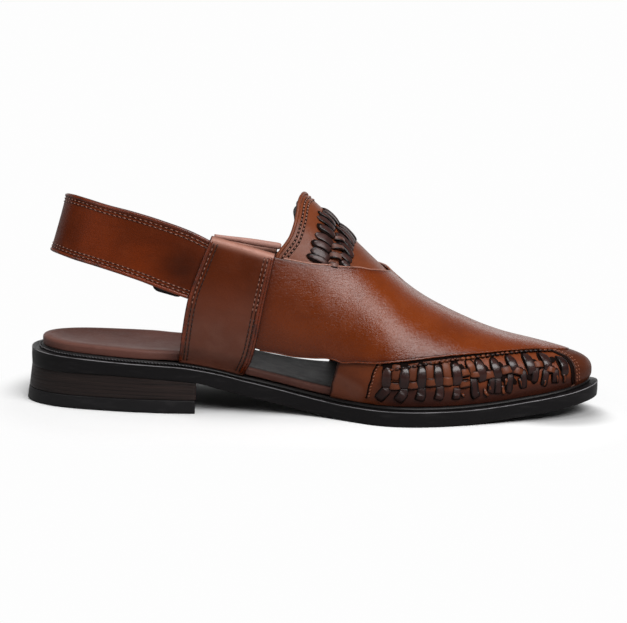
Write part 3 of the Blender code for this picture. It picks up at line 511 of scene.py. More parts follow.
def leatherGroup():
    # burnished leather: cloudy dye, pores, fine grain, and darker where it nears a cut edge
    colours = ("face", "deep", "pale", "edge", "lining")
    tree, given, out = newGroup("burnishedLeather", colours, ("reach", "cloud", "grain"))
    place = objectPlace(tree)
    broad = noise(tree, place, 26.0, 3.0, 0.5, 0.6)
    cloud = noise(tree, place, 110.0, 4.0, 0.6, 0.3)
    fleck = noise(tree, place, 900.0, 3.0, 0.6)
    fine = noise(tree, place, 3300.0, 2.0, 0.5)
    cells = {"Vector": place, "Scale": 1500.0, "Randomness": 0.9}
    pores = addNode(tree, "TexVoronoi", cells).outputs["Distance"]
    streak = noise(tree, stretched(tree, place, (30.0, 90.0, 160.0)), 1.0, 4.0, 0.6, 0.8)
    crease = noise(tree, stretched(tree, place, (520.0, 520.0, 1250.0)), 1.0, 4.0, 0.62, 1.4)
    dyed = worked(tree, "MULTIPLY", ranged(tree, broad, 0.38, 0.68), given["cloud"])
    tone = mixed(tree, dyed, given["face"], given["deep"])
    worn = worked(tree, "MULTIPLY", ranged(tree, cloud, 0.5, 0.75, (0.0, 0.45)), given["cloud"])
    tone = mixed(tree, worn, tone, given["pale"])
    for spots, low, high, to in (
        (streak, 0.52, 0.8, (0.0, 0.22)), (fleck, 0.56, 0.76, (0.0, 0.28)), (pores, 0.0, 0.22, (0.16, 0.0)),
    ):
        tone = mixed(tree, ranged(tree, spots, low, high, to), tone, given["deep"])
    gap = worked(tree, "ADD", valueOf(tree, "edgeGap"), ranged(tree, cloud, 0.3, 0.7, (-0.5, 0.5)))
    near = ranged(tree, gap, 0.1, given["reach"], (1.0, 0.0))
    tone = mixed(tree, worked(tree, "MULTIPLY", near, 0.72), tone, given["deep"])
    # shade above 0 darkens: painted shade where another piece lies over or beside the leather, and plain
    # darkening low on the toe band; below 0 it mixes in a painted pale sheen
    shade = valueOf(tree, "shade")
    dark = worked(tree, "MULTIPLY", shade, ranged(tree, broad, 0.3, 0.7, (0.7, 1.0)))
    tone = mixed(tree, dark, tone, given["deep"])
    paintedSheen = worked(tree, "SUBTRACT", ranged(tree, cloud, 0.3, 0.7, (0.0, 0.35)), 1.2)
    tone = mixed(tree, worked(tree, "MULTIPLY", shade, paintedSheen), tone, (0.45, 0.225, 0.172))
    tone = mixed(tree, ranged(tree, gap, 0.15, 0.75, (1.0, 0.0)), tone, given["edge"])
    tree.links.new(mixed(tree, valueOf(tree, "inside"), tone, given["lining"]), out["colour"])
    rough = ranged(tree, cloud, 0.3, 0.75, (-0.04, 0.07))
    tree.links.new(worked(tree, "ADD", rough, ranged(tree, fleck, 0.3, 0.7, (-0.03, 0.04))), out["rough"])
    height = ranged(tree, pores, 0.0, 0.3, (0.0, 0.5))
    for relief, weight in ((fine, 0.45), (fleck, 0.6), (crease, 2.1)):
        height = worked(tree, "ADD", height, worked(tree, "MULTIPLY", relief, weight))
    bump = addNode(tree, "Bump", {"Strength": given["grain"], "Distance": 0.00022, "Height": height})
    soft = {"Strength": 0.22, "Distance": 0.0011, "Height": cloud, "Normal": bump.outputs[0]}
    tree.links.new(addNode(tree, "Bump", soft).outputs[0], out["normal"])
    return tree


def threadGroup():
    # waxed thread: diagonal twist and a little fuzz
    tree, given, out = newGroup("waxedThread", ("face", "deep"), rough=False)
    place = objectPlace(tree)
    turned = addNode(tree, "Mapping", {"Vector": place, "Rotation": (0.4, 0.9, 0.6)}).outputs[0]
    feeds = {"Vector": turned, "Scale": 1100.0, "Distortion": 1.2, "Detail": 1.0}
    twist = addNode(tree, "TexWave", feeds).outputs["Fac"]
    fuzz = noise(tree, place, 5200.0, 2.0)
    tone = mixed(tree, ranged(tree, twist, 0.1, 0.8, (0.65, 0.0)), given["face"], given["deep"])
    tree.links.new(mixed(tree, ranged(tree, fuzz, 0.4, 0.8, (0.0, 0.4)), tone, given["deep"]), out["colour"])
    height = worked(tree, "ADD", twist, fuzz)
    bump = addNode(tree, "Bump", {"Strength": 0.5, "Distance": 0.0001, "Height": height})
    tree.links.new(bump.outputs[0], out["normal"])
    return tree


def scuffGroup():
    # hard black finishes: faint scuffs, dust in the hollows, fine pits, and a painted pale highlight on the
    # lip where polish is set, which is smoother there too
    tree, given, out = newGroup("scuffedBlack", ("face", "worn"), ("wear",))
    place = objectPlace(tree)
    scuff = noise(tree, stretched(tree, place, (60.0, 60.0, 420.0)), 1.0, 5.0, 0.65, 0.5)
    fine = noise(tree, place, 2600.0, 3.0, 0.6)
    broad = noise(tree, place, 60.0, 3.0)
    worn = worked(tree, "MULTIPLY", ranged(tree, scuff, 0.52, 0.74), given["wear"])
    tone = mixed(tree, worn, given["face"], given["worn"])
    tone = mixed(tree, ranged(tree, fine, 0.55, 0.8, (0.0, 0.35)), tone, given["worn"])
    polishAndHighlight = valueOf(tree, "polishAndHighlight")
    # painted pale highlight along the lip
    lipHighlight = worked(tree, "MULTIPLY", polishAndHighlight, ranged(tree, scuff, 0.3, 0.62, (0.35, 1.0)))
    tree.links.new(mixed(tree, lipHighlight, tone, (0.26, 0.25, 0.26)), out["colour"])
    rough = ranged(tree, scuff, 0.35, 0.75, (0.0, 0.16))
    rough = worked(tree, "ADD", rough, ranged(tree, broad, 0.3, 0.7, (-0.04, 0.06)))
    rough = worked(tree, "SUBTRACT", rough, worked(tree, "MULTIPLY", polishAndHighlight, 0.12))
    tree.links.new(rough, out["rough"])
    height = worked(tree, "ADD", scuff, fine)
    bump = addNode(tree, "Bump", {"Strength": 0.3, "Distance": 0.00012, "Height": height})
    tree.links.new(bump.outputs[0], out["normal"])
    return tree


burnished, waxed, scuffed = leatherGroup(), threadGroup(), scuffGroup()


def newMaterial(name, group, feeds, rough, settings=None):
    # rough is the middle roughness, moved up and down by the group's own value when it has one
    material = bpy.data.materials.new(name)
    material.use_nodes = True
    tree = material.node_tree
    shader = tree.nodes["Principled BSDF"]
    node = tree.nodes.new("ShaderNodeGroup")
    node.node_tree = group
    for key, value in feeds.items():
        node.inputs[key].default_value = (*value, 1) if isinstance(value, tuple) else value
    tree.links.new(node.outputs["colour"], shader.inputs["Base Color"])
    tree.links.new(node.outputs["normal"], shader.inputs["Normal"])
    if "rough" in node.outputs:
        tree.links.new(worked(tree, "ADD", node.outputs["rough"], rough), shader.inputs["Roughness"])
    else:
        shader.inputs["Roughness"].default_value = rough
    for key, value in (settings or {}).items():
        shader.inputs[key].default_value = value
    return material


def shine(level, coat=0.06, coatRough=0.24):
    return {"Specular IOR Level": level, "Coat Weight": coat, "Coat Roughness": coatRough}


def softShine(level=0.18):
    return shine(level, 0.05, 0.28)


def newLeather(name, finish, rough, looks, **changes):
    return newMaterial(name, burnished, {**finish, **changes}, rough, looks)


def newBlack(name, face, worn, wear, rough, level):
    feeds = {"face": face, "worn": worn, "wear": wear}
    return newMaterial(name, scuffed, feeds, rough, {"Specular IOR Level": level})


def newThread(name, face, deep, rough):
    return newMaterial(name, waxed, {"face": face, "deep": deep}, rough)


# polished tan leathers; reach is how far in from a cut edge they are darkened, in millimetres
strapFinish = {
    "face": (0.125, 0.0270, 0.0062),
    "deep": (0.040, 0.0075, 0.0022),
    "pale": (0.170, 0.045, 0.014),
    "edge": (0.040, 0.0095, 0.0050),
    "lining": (0.120, 0.052, 0.030),
    "reach": 2.6,
    "cloud": 0.45,
    "grain": 0.22,
}
vampFinish = {
    **strapFinish,
    "face": (0.150, 0.0265, 0.0034),
    "deep": (0.080, 0.0120, 0.0018),
    "pale": (0.205, 0.048, 0.011),
    "edge": (0.050, 0.0110, 0.0045),
    "reach": 4.2,
    "grain": 0.34,
}
bandFinish = {
    **strapFinish,
    "face": (0.175, 0.0380, 0.0100),
    "deep": (0.034, 0.0085, 0.0050),
    "pale": (0.240, 0.062, 0.018),
    "edge": (0.030, 0.0080, 0.0040),
    "reach": 2.0,
    "cloud": 0.4,
    "grain": 0.2,
}
laceFinish = {
    "face": (0.034, 0.0105, 0.0080),
    "deep": (0.014, 0.0048, 0.0042),
    "pale": (0.066, 0.0250, 0.0200),
    "edge": (0.006, 0.0028, 0.0026),
    "lining": (0.030, 0.012, 0.008),
    "reach": 1.1,
    "cloud": 0.8,
    "grain": 0.16,
}
sockFinish = {
    "face": (0.118, 0.045, 0.033),
    "deep": (0.075, 0.026, 0.019),
    "pale": (0.150, 0.066, 0.050),
    "edge": (0.030, 0.013, 0.010),
    "lining": (0.0065, 0.0057, 0.0060),
    "reach": 3.0,
    "cloud": 0.5,
    "grain": 0.4,
}
darkLiningFinish = {
    "face": (0.018, 0.013, 0.012),
    "deep": (0.008, 0.006, 0.006),
    "pale": (0.036, 0.026, 0.024),
    "edge": (0.008, 0.006, 0.006),
    "lining": (0.018, 0.013, 0.012),
    "reach": 1.0,
    "cloud": 0.6,
    "grain": 0.5,
}
backFinish = {**strapFinish, "face": (0.152, 0.0225, 0.0032), "pale": (0.200, 0.038, 0.008)}
sideFinish = {**strapFinish, "face": (0.086, 0.0145, 0.0026), "pale": (0.118, 0.024, 0.006)}
strapLeather = newLeather("strapLeather", backFinish, 0.36, softShine(0.12))
sideLeather = newLeather("sideLeather", sideFinish, 0.34, softShine(0.13))
ridgeLeather = newLeather("ridgeLeather", backFinish, 0.26, shine(0.5), reach=0.4)
# paler copy of the side strap leather: painted light on top of the rolled backing
litFoldLeather = newLeather(
    "litFoldLeather", sideFinish, 0.4, softShine(),
    face=(0.36, 0.19, 0.155), pale=(0.45, 0.26, 0.22), deep=(0.16, 0.07, 0.05), reach=0.6,
)
vampLeather = newLeather("vampLeather", vampFinish, 0.24, shine(0.3))
rimLeather = newLeather("rimLeather", vampFinish, 0.24, shine(0.4, 0.2, 0.2), reach=0.4, cloud=0.3)
# pale copy of the vamp leather for the throat bead: a painted highlight
paintedHighlightRim = newLeather(
    "paintedHighlightRim", vampFinish, 0.3, shine(0.4),
    face=(0.27, 0.115, 0.080), pale=(0.36, 0.18, 0.13), deep=(0.14, 0.045, 0.025), reach=0.4,
)
bandLeather = newLeather("bandLeather", bandFinish, 0.38, softShine())
tongueLeather = newLeather("tongueLeather", bandFinish, 0.38, softShine(), face=(0.150, 0.036, 0.0115))
tipLeather = newLeather(
    "tipLeather", bandFinish, 0.36, softShine(),
    face=(0.068, 0.0145, 0.0040), pale=(0.100, 0.025, 0.008), reach=1.6,
)
barLeather = newLeather(
    "barLeather", bandFinish, 0.40, softShine(),
    face=(0.135, 0.036, 0.014), pale=(0.230, 0.075, 0.032), reach=0.5,
)
laceLeather = newLeather("laceLeather", laceFinish, 0.32, shine(0.2, 0.34, 0.14))
stripLeather = newLeather("stripLeather", laceFinish, 0.42, softShine(0.2))
tongueStrand = newLeather(
    "tongueStrand", laceFinish, 0.36, shine(0.24, 0.16, 0.2),
    face=(0.050, 0.0180, 0.0145), pale=(0.115, 0.052, 0.044),
)
knotLeather = newLeather(
    "knotLeather", laceFinish, 0.36, softShine(),
    face=(0.165, 0.085, 0.067), pale=(0.260, 0.150, 0.125), deep=(0.060, 0.024, 0.018),
)
tabLeather = newLeather(
    "tabLeather", laceFinish, 0.34, softShine(),
    face=(0.170, 0.044, 0.014), pale=(0.235, 0.075, 0.028), deep=(0.075, 0.017, 0.006),
)
sockLeather = newLeather("sockLeather", sockFinish, 0.50, {"Specular IOR Level": 0.24, "Sheen Weight": 0.04})
darkLining = newLeather("darkLining", darkLiningFinish, 0.6, {"Specular IOR Level": 0.3, "Sheen Weight": 0.1})
paleThread = newThread("paleThread", (0.265, 0.115, 0.078), (0.10, 0.034, 0.019), 0.55)
warmThread = newThread("warmThread", (0.215, 0.062, 0.024), (0.07, 0.018, 0.008), 0.5)
darkThread = newThread("darkThread", (0.030, 0.011, 0.007), (0.010, 0.005, 0.004), 0.5)
weltThread = newThread("weltThread", (0.085, 0.080, 0.085), (0.02, 0.018, 0.02), 0.4)
soleInk = newBlack("soleInk", (0.0062, 0.0055, 0.0060), (0.022, 0.020, 0.021), 0.5, 0.30, 0.17)
rollInk = newBlack("rollInk", (0.0065, 0.0055, 0.0055), (0.016, 0.013, 0.013), 0.4, 0.38, 0.2)
liftRubber = newBlack("liftRubber", (0.0098, 0.0090, 0.0098), (0.026, 0.024, 0.025), 0.6, 0.36, 0.22)
# dark patches for slits, holes and grooves: painted shade
paintedShade = newBlack("paintedShade", (0.0060, 0.0026, 0.0020), (0.010, 0.005, 0.004), 0.3, 0.7, 0.05)
buckleLacquer = newBlack("buckleLacquer", (0.0065, 0.0060, 0.0065), (0.030, 0.028, 0.028), 0.4, 0.22, 0.4)


def stackMaterial():
    # heel lifts: pressed leather with fine lines along each layer
    material = bpy.data.materials.new("stackedLeather")
    material.use_nodes = True
    tree = material.node_tree
    shader = tree.nodes["Principled BSDF"]
    place = objectPlace(tree)
    height = addNode(tree, "SeparateXYZ", {0: place}).outputs["Z"]
    fibre = noise(tree, stretched(tree, place, (45.0, 45.0, 1500.0)), 1.0, 5.0, 0.65, 0.4)
    broad = noise(tree, stretched(tree, place, (25.0, 25.0, 420.0)), 1.0, 3.0, 0.5)
    above = worked(tree, "SUBTRACT", height, heel["liftTop"] / 1000)
    layer = worked(tree, "FLOORED_MODULO", above, heel["layer"] / 1000)
    seam = worked(tree, "MULTIPLY", ranged(tree, layer, 0.0, 0.00022, (1.0, 0.0)), 0.8)
    tone = mixed(tree, ranged(tree, fibre, 0.4, 0.7), (0.0210, 0.0135, 0.0122), (0.0100, 0.0070, 0.0066))
    tone = mixed(tree, ranged(tree, broad, 0.5, 0.75, (0.0, 0.6)), tone, (0.034, 0.0215, 0.0185))
    tree.links.new(mixed(tree, seam, tone, (0.004, 0.003, 0.003)), shader.inputs["Base Color"])
    tree.links.new(ranged(tree, fibre, 0.3, 0.7, (0.34, 0.52)), shader.inputs["Roughness"])
    relief = worked(tree, "SUBTRACT", fibre, seam)
    bump = addNode(tree, "Bump", {"Strength": 0.35, "Distance": 0.00015, "Height": relief})
    tree.links.new(bump.outputs[0], shader.inputs["Normal"])
    shader.inputs["Specular IOR Level"].default_value = 0.22
    return material


print("materials mixed")

# sole, heel and padded inner sole
sole = {
    "stations": 461,
    "edgeRound": 0.5,
    "lip": 0.42,
    "barrel": 0.22,
    "rollWidth": 3.2,
    "ribPitch": 1.15,
    "ribDepth": 0.16,
    "ribEnd": 95.0,
    "heelOut": 1.3,
    "toeOut": 0.7,
}
heel = {
    "liftTop": 7.0,
    "layer": 2.05,
    "layers": 6,
    "groove": 0.05,
    "breastMedial": 90.5,
    "breastLateral": 85.0,
    "hollow": 1.6,
    "setback": 2.3,
    "lean": (1.9, 4.3),
    "leanTop": 19.0,
    "liftRows": [(1.2, 0.0), (0.5, 0.12), (0.12, 0.55), (0.0, 1.4), (0.02, 3.0), (0.04, 4.7), (0.06, 6.2)],
}
stackedLeather = stackMaterial()


def withHeight(plan, height):
    height = np.broadcast_to(np.asarray(height, float), plan.shape[:-1])
    return np.concatenate([plan, height[..., None]], -1)


def level(height):
    return lambda x: x * 0 + height


def sideRows(side, turns, profile):
    # the rows of one side of the sole; profile lists the inset and the height above each x
    edge = outlineAt(side, turns)[:, 0]
    return np.array([withHeight(outlineAt(side, turns, inset), height(edge)) for inset, height in profile])


def edgeOut(x):
    # the sole stands out a little more round the heel and the toe
    along = x + last["halfLength"]
    return sole["heelOut"] * (1 - smooth(0, 45, along)) + sole["toeOut"] * smooth(255, 300, along)


def buildSoleEdge():
    turns = np.linspace(0, 1, sole["stations"])
    r, lip = sole["edgeRound"], sole["lip"]
    # inset and height above the floor, from the underside round the edge to the upper side
    profile = [(22.0, lowerFace), (9.0, lowerFace), (r + 0.4, lowerFace)]
    for a in np.radians((20, 45, 70)):
        profile.append((r * (1 - math.sin(a)), lambda x, a=a: lowerFace(x) + r * (1 - math.cos(a))))
    wallRows = range(len(profile), len(profile) + 5)
    for share in (0.2, 0.35, 0.5, 0.65, 0.8):
        wall = lambda x, share=share: lowerFace(x) + (upperFace(x) - lowerFace(x)) * share
        profile.append((0.12 - sole["barrel"] * math.sin(math.pi * share), wall))
    profile.append((-0.02, lambda x: upperFace(x) - 1.2))
    profile.append((-0.06, lambda x: upperFace(x) - 0.8))
    lipRow = len(profile) + 2
    for a in np.radians((0, 25, 50, 75, 90)):
        edge = lambda x, a=a: upperFace(x) - lip * (1 - math.sin(a))
        profile.append((lip * (1 - math.cos(a)) - 0.05, edge))
    profile += [(2.2, upperFace), (3.2, lambda x: upperFace(x) - 0.1)]
    profile += [(inset, upperFace) for inset in (5.6, 9.0, 22.0)]
    sides = []
    for side in (-1, 1):
        edge = outlineAt(side, turns)
        run = runAlong(edge)
        fade = 1 - smooth(sole["ribEnd"], sole["ribEnd"] + 20, edge[:, 0] + last["halfLength"])
        rows = []
        for k, (inset, height) in enumerate(profile):
            pull = inset - edgeOut(edge[:, 0]) * (inset < 4)
            if k in wallRows:
                # pressed wheel marks round the seat, leaning forwards
                wave = np.sin(2 * math.pi * (run + (k - wallRows[2]) * 0.7) / sole["ribPitch"])
                pull = pull + sole["ribDepth"] * 0.5 * (1 - wave) * fade
            rows.append(withHeight(outlineAt(side, turns, pull), height(edge[:, 0])))
        sides.append(np.array(rows))
    ring = np.concatenate([sides[0], sides[1][::-1]]).swapaxes(0, 1)
    faces = gridFaces(len(turns), ring.shape[1], wrap=True)
    polishAndHighlight = np.zeros(len(profile))
    # the lip rows get the painted highlight and a smoother finish
    polishAndHighlight[lipRow - 1 : lipRow + 2] = 0.35, 1.0, 0.35
    polishAndHighlight = np.broadcast_to(np.concatenate([polishAndHighlight, polishAndHighlight[::-1]]), ring.shape[:2])
    addMesh("soleEdge", ring, faces, soleInk, ["outsole"], {"polishAndHighlight": polishAndHighlight})


def buildRoll():
    # raised roll of leather that the upper is stitched down to
    turns = np.linspace(0, 1, 401)
    half, rise = sole["rollWidth"] / 2, last["rollHeight"] + 0.25
    middle = last["rollInset"] + half - 0.25
    profile = []
    for angle in np.linspace(0, math.pi, 9):
        lift = rise * math.sin(angle) ** 0.7 - 0.1
        profile.append((middle - half * math.cos(angle), lambda x, lift=lift: upperFace(x) + lift))
    medial, lateral = (sideRows(side, turns, profile).swapaxes(0, 1) for side in (-1, 1))
    loop = np.concatenate([medial, lateral[-2:0:-1], medial[:1]])
    faces = gridFaces(len(loop), loop.shape[1], wrap=True)
    addMesh("soleRoll", loop, faces, rollInk)


def leanAt(height):
    # how far the heel's back reaches out at a height
    top, foot = heel["lean"]
    return top + (foot - top) * min(1.0, (heel["leanTop"] - height) / heel["leanTop"])


def heelLayer(name, material, profile, inset, shorter, slot):
    # profile lists pull and height; the layer runs from the back of the heel to its hollowed front
    shares = np.linspace(0, 1, 90) ** 1.7
    across = np.linspace(0, 1, 15)
    grids = []
    for pull, height in profile:
        rows = []
        for share in shares:
            ends = []
            for side, breast in ((-1, heel["breastMedial"]), (1, heel["breastLateral"])):
                front = breast - shorter - pull * 0.6
                along = heel["setback"] + (front - heel["setback"]) * share
                spot = outlineAt(side, turnOf(along), inset + pull)
                spot[0] -= leanAt(float(height(spot[0]))) * max(0.0, 1 - (along - heel["setback"]) / 40) ** 2
                ends.append(spot)
            line = ends[0] + (ends[1] - ends[0]) * across[:, None]
            line[:, 0] -= heel["hollow"] * 4 * across * (1 - across) * share**3
            rows.append(withHeight(line, height(line[:, 0])))
        grids.append(np.array(rows))
    rows, columns = grids[0].shape[:2]
    count = rows * columns
    faces = gridFaces(rows, columns) + gridFaces(rows, columns, start=(len(grids) - 1) * count, flip=True)
    # no wall across the back, where the two sides meet in one line
    ring = [i * columns for i in range(rows)] + [(rows - 1) * columns + j for j in range(1, columns)]
    ring += [i * columns + columns - 1 for i in range(rows - 2, -1, -1)]
    for k in range(len(grids) - 1):
        faces += wallFaces([spot + k * count for spot in ring], count)
    return addMesh(name, np.array(grids), faces, material, [slot])


def buildHeel():
    top, bottom = lambda x: lowerFace(x) - 0.05, heel["liftTop"] + 0.12
    stack = [(0.35, level(bottom)), (0.02, level(bottom + 0.3))]
    for k in range(1, heel["layers"] + 1):
        # a fine groove between two layers, and none at the very top
        for step, pull in ((-0.22, 0.0), (-0.08, heel["groove"]), (0.08, heel["groove"]), (0.22, 0.0)):
            if k == heel["layers"] and step > -0.1:
                continue
            share = k / heel["layers"]
            stack.append((pull, lambda x, share=share, step=step: bottom + (top(x) - bottom) * share + step))
    heelLayer("heelStack", stackedLeather, stack + [(0.2, top)], 0.62, 0.0, "heel_stack")
    lift = [(pull, level(height)) for pull, height in heel["liftRows"]]
    for a in np.radians((25, 55, 90)):
        lift.append((0.06 + 0.3 * (1 - math.cos(a)), level(6.7 + 0.3 * math.sin(a))))
    heelLayer("heelTread", liftRubber, lift, 0.42, 0.5, "top_lift")


sock = {
    "insetRows": [(0, 4.4), (30, 5.0), (62, 5.5), (76, 7.6), (301, 7.6)],
    "rimRows": [(0, 4.7), (85, 4.7), (125, 4.0), (301, 4.0)],
    "rimRound": 1.5,
    "padEnd": (-53.5, -51.5),
    "dishRows": [(2.3, 0), (25, 1.4), (60, 1.8), (110, 1.2), (170, 0.5), (300.6, 0)],
}


def buildSock():
    # padded inner sole with a turned rim, dished under the heel
    turns = np.linspace(0, 1, 241)
    rim = curveThrough(sock["rimRows"], 1, outlineAt(-1, turns)[:, 0] + last["halfLength"])
    r = sock["rimRound"]
    levels = [(0.5, rim * 0), (0.12, rim * 0 + 0.15), (0.0, rim * 0 + 0.5)]
    levels += [(-0.02, rim * 0.3), (0.0, rim * 0.5), (0.02, rim - r)]
    for a in np.radians((20, 40, 60, 75, 90)):
        levels.append((0.02 + r * (1 - math.cos(a)), rim - r + r * math.sin(a)))
    levels += [(2.6, rim + 0.12), (4.2, rim + 0.15)]
    sides = []
    for side in (-1, 1):
        edge = outlineAt(side, turns)
        inset = curveThrough(sock["insetRows"], 1, edge[:, 0] + last["halfLength"])
        base = upperFace(outlineAt(side, turns, inset)[:, 0]) + last["rollHeight"] + last["seatGap"]
        sides.append([withHeight(outlineAt(side, turns, inset + pull), base + lift) for pull, lift in levels])
    medial, lateral = sides
    dish = curveThrough(sock["dishRows"], 1, outlineAt(-1, turns)[:, 0] + last["halfLength"])
    shares = np.linspace(0, 1, 26)[1:-1]
    floor = []
    for share in shares:
        spot = medial[-1] + (lateral[-1] - medial[-1]) * share
        spot[:, 2] -= dish * math.sin(math.pi * share) ** 0.7 + 0.15 * math.sin(math.pi * share)
        floor.append(spot)
    under = [medial[0] + (lateral[0] - medial[0]) * share for share in shares[::-1]]
    ring = np.array(medial + floor + lateral[::-1] + under).swapaxes(0, 1)
    far = len(levels) + len(shares)  # where the far side starts
    gaps = np.full(ring.shape[:2], 9.0)
    gaps[:, :2] = gaps[:, far + len(levels) - 2 : far + len(levels)] = 0.9
    # brown over the heel pad and black in front of it, both inside the turned brown rim
    black = smooth(*sock["padEnd"], ring[..., 0])
    black[:, : len(levels) - 2] = black[:, far + 2 :] = 0
    faces = gridFaces(len(turns), ring.shape[1], wrap=True)
    values = {"edgeGap": gaps, "inside": black}
    piece = addMesh("innerSole", ring, faces, sockLeather, ["footbed"], values)


def buildWelt():
    # row of pressed stitches round the heel seat, on the roll
    turns = np.linspace(0, float(turnOf(98.0)), 160)
    parts = []
    for side in (-1, 1):
        spot = outlineAt(side, turns, np.full(len(turns), last["rollInset"] - 0.9))
        path = withHeight(spot, upperFace(spot[:, 0]) + 0.75)
        inward = unit(outlineAt(side, turns, np.full(len(turns), 2.0)) - outlineAt(side, turns))
        up = unit(np.concatenate([-0.8 * inward, np.full((len(turns), 1), 0.75)], 1))
        parts += stitchParts(path, up, 1.75, 1.15, 0.34, lean=0.35)
    addThread("seatStitches", parts, weltThread)


buildSoleEdge()
buildRoll()
buildWelt()
buildHeel()
buildSock()
print("sole and heel built")

# toe band, tongue and vamp

# share, x of the band's rear edge
bandEdgeRows = [
    (0.0, 6.6), (0.1, 7.5), (0.22, 9.0), (0.31, 10.3), (0.45, 16.0), (0.6, 24.0), (0.8, 38.0), (1.0, 47.0),
]
# share, x of the collar on the big-toe side, x on the other side
collarRows = [
    (0.44, -20.2, -14.0), (0.54, -19.9, -13.0), (0.572, -18.0, -12.4), (0.602, -15.8, -11.8),
    (0.645, -13.3, -11.2), (0.712, -11.3, -10.6), (0.773, -10.3, -10.2), (0.858, -9.5, -9.5),
    (0.95, -7.9, -7.9), (1.0, -6.8, -6.8),
]
# x, share of the vamp's lower edge on the big-toe side, share on the other side
vampFootRows = [
    (-27.6, 0.172, 0.165), (-14, 0.190, 0.18), (-1, 0.247, 0.235), (9, 0.325, 0.31), (21, 0.39, 0.38),
    (40, 0.46, 0.45), (65, 0.545, 0.54), (87, 0.63, 0.62), (107, 0.735, 0.72), (118, 0.79, 0.775),
    (128, 0.825, 0.81), (139, 0.845, 0.83), (147, 0.843, 0.83), (150.3, 0.81, 0.81),
]
# x, share of the throat's edge on the big-toe side, share on the other side
vampThroatRows = [
    (-27.6, 0.53, 0.48), (-20, 0.54, 0.49), (-12, 0.56, 0.51), (-3.5, 0.592, 0.55),
    (5.5, 0.645, 0.61), (14, 0.705, 0.68), (20, 0.755, 0.735), (25.5, 0.80, 0.765),
    (30, 0.85, 0.80), (35, 0.915, 0.865), (39.5, 1.0, 1.0),
]
# height above the floor, x of a side strap's rear edge, x of its front edge
sideStrapRows = {
    -1: [(19, -70.5, -35.3), (35, -68.2, -29.8), (61, -63.8, -24.8), (79, -57.4, -21.3), (95, -51.3, -18.3)],
    1: [(19, -72.5, -38.0), (35, -70.0, -31.0), (52, -67.0, -27.0), (70, -60.5, -23.3), (86, -54.0, -20.2)],
}
band = {"wall": 1.8, "under": 0.2, "round": 0.5, "rows": 110}
tongue = {"wall": 1.7, "under": 0.2, "round": 0.6}
vamp = {
    "tuck": 2.4,
    "gap": 0.32,
    "wall": 1.25,
    "round": 0.62,
    "throatEnd": 39.5,
    # points of its grid along the lower edge, up the side, along the throat and along the ridge
    "foot": 150,
    "climb": 34,
    "throat": 52,
    "ridge": 56,
    "thinned": (112, 140),
    "shadeFrom": -27,
    "shadeReach": 24,
}


def spaced(first, end, count, ease=1.0):
    return end - (end - first) * (1 - np.linspace(0, 1, count)) ** ease


def mirrored(rows, column, girth):
    share = np.minimum(girth, 2 - girth)
    return np.where(girth <= 1, curveThrough(rows, column, share), curveThrough(rows, column + 1, share))


def bandRear(girth):
    return curveThrough(bandEdgeRows, 1, np.minimum(girth, 2 - girth))


def bandDarkAndSheen(spots):
    # darker below the row of knots, and a painted pale sheen on the plain leather behind the weave
    middle = lastPoint(turnAtX(spots[:, 0]), np.full(len(spots), 0.37))[:, 2]
    low = smooth(middle + 2.5, middle - 2.0, spots[:, 2])
    lower = lastPoint(turnAtX(spots[:, 0]), np.full(len(spots), 0.25))[:, 2]
    plain = smooth(30, 24, spots[:, 0]) * smooth(lower + 1.5, lower - 2.5, spots[:, 2])
    return smooth(24, 42, spots[:, 0]) * low - 0.11 * plain


def buildBand():
    girths = np.linspace(0, 2, 141)
    rear = turnAtX(bandRear(girths))
    turns = rear[None, :] + (1 - rear[None, :]) * spaced(0, 1, band["rows"], 1.1)[:, None]
    grid = np.broadcast_to(girths, turns.shape)
    points, normals = skin(turns, grid, -band["under"])
    shape = (points, normals, band["wall"], band["round"], ["first"])
    addSlab("toeBand", *shape, bandLeather, "toe_band", ["toe_band"], bandDarkAndSheen)


def buildTongue():
    girths = np.linspace(0.44, 1.56, 91)
    collar = mirrored(collarRows, 1, girths)
    front = bandRear(girths) - 0.6
    turns = turnAtX(collar + (front - collar) * np.linspace(0, 1, 46)[:, None])
    grid = np.broadcast_to(girths, turns.shape)
    points, normals = skin(turns, grid, -tongue["under"])
    shape = (points, normals, tongue["wall"], tongue["round"], ["first", "left", "right"])
    addSlab("tongueFace", *shape, tongueLeather, "tongue", ["tongue"])


def strapEdge(side, column, height):
    return curveThrough(sideStrapRows[side], column, height)


def wingX(side, share):
    x = np.array(-24.0)
    for _ in range(6):
        x = strapEdge(side, 2, halfSection(side, turnAtX(x), np.array(share))[..., 2]) - vamp["tuck"]
    return float(x)


def vampGrid(side):
    # girths and turns of one half of the vamp, from its lower edge up to its throat and the ridge
    column = 1 if side < 0 else 2
    footShare = float(curveThrough(vampFootRows, column, -27.0))
    footX = spaced(wingX(side, footShare), last["halfLength"], vamp["foot"], 1.25)
    footTurn = np.append(turnAtX(footX[:-1]), 1.0)
    footShares = curveThrough(vampFootRows, column, footX)
    topShare = float(curveThrough(vampThroatRows, column, -20.0))
    throatX = np.linspace(wingX(side, topShare), vamp["throatEnd"], vamp["throat"])
    ridgeX = spaced(vamp["throatEnd"], last["halfLength"], vamp["ridge"] + 1, 1.5)[1:]
    left = vamp["foot"] - vamp["throat"] - vamp["ridge"] + 1
    topTurn = np.concatenate([turnAtX(throatX), turnAtX(ridgeX[:-1]), np.ones(left)])
    drop = np.linspace(1, footShares[-1], left)
    throatShares = curveThrough(vampThroatRows, column, throatX)
    topShares = np.concatenate([throatShares, np.ones(vamp["ridge"] - 1), drop])
    climb = np.linspace(0, 1, vamp["climb"])[:, None]
    turns = footTurn + (topTurn - footTurn) * climb
    shares = footShares + (topShares - footShares) * climb
    return turns, shares if side < 0 else 2 - shares


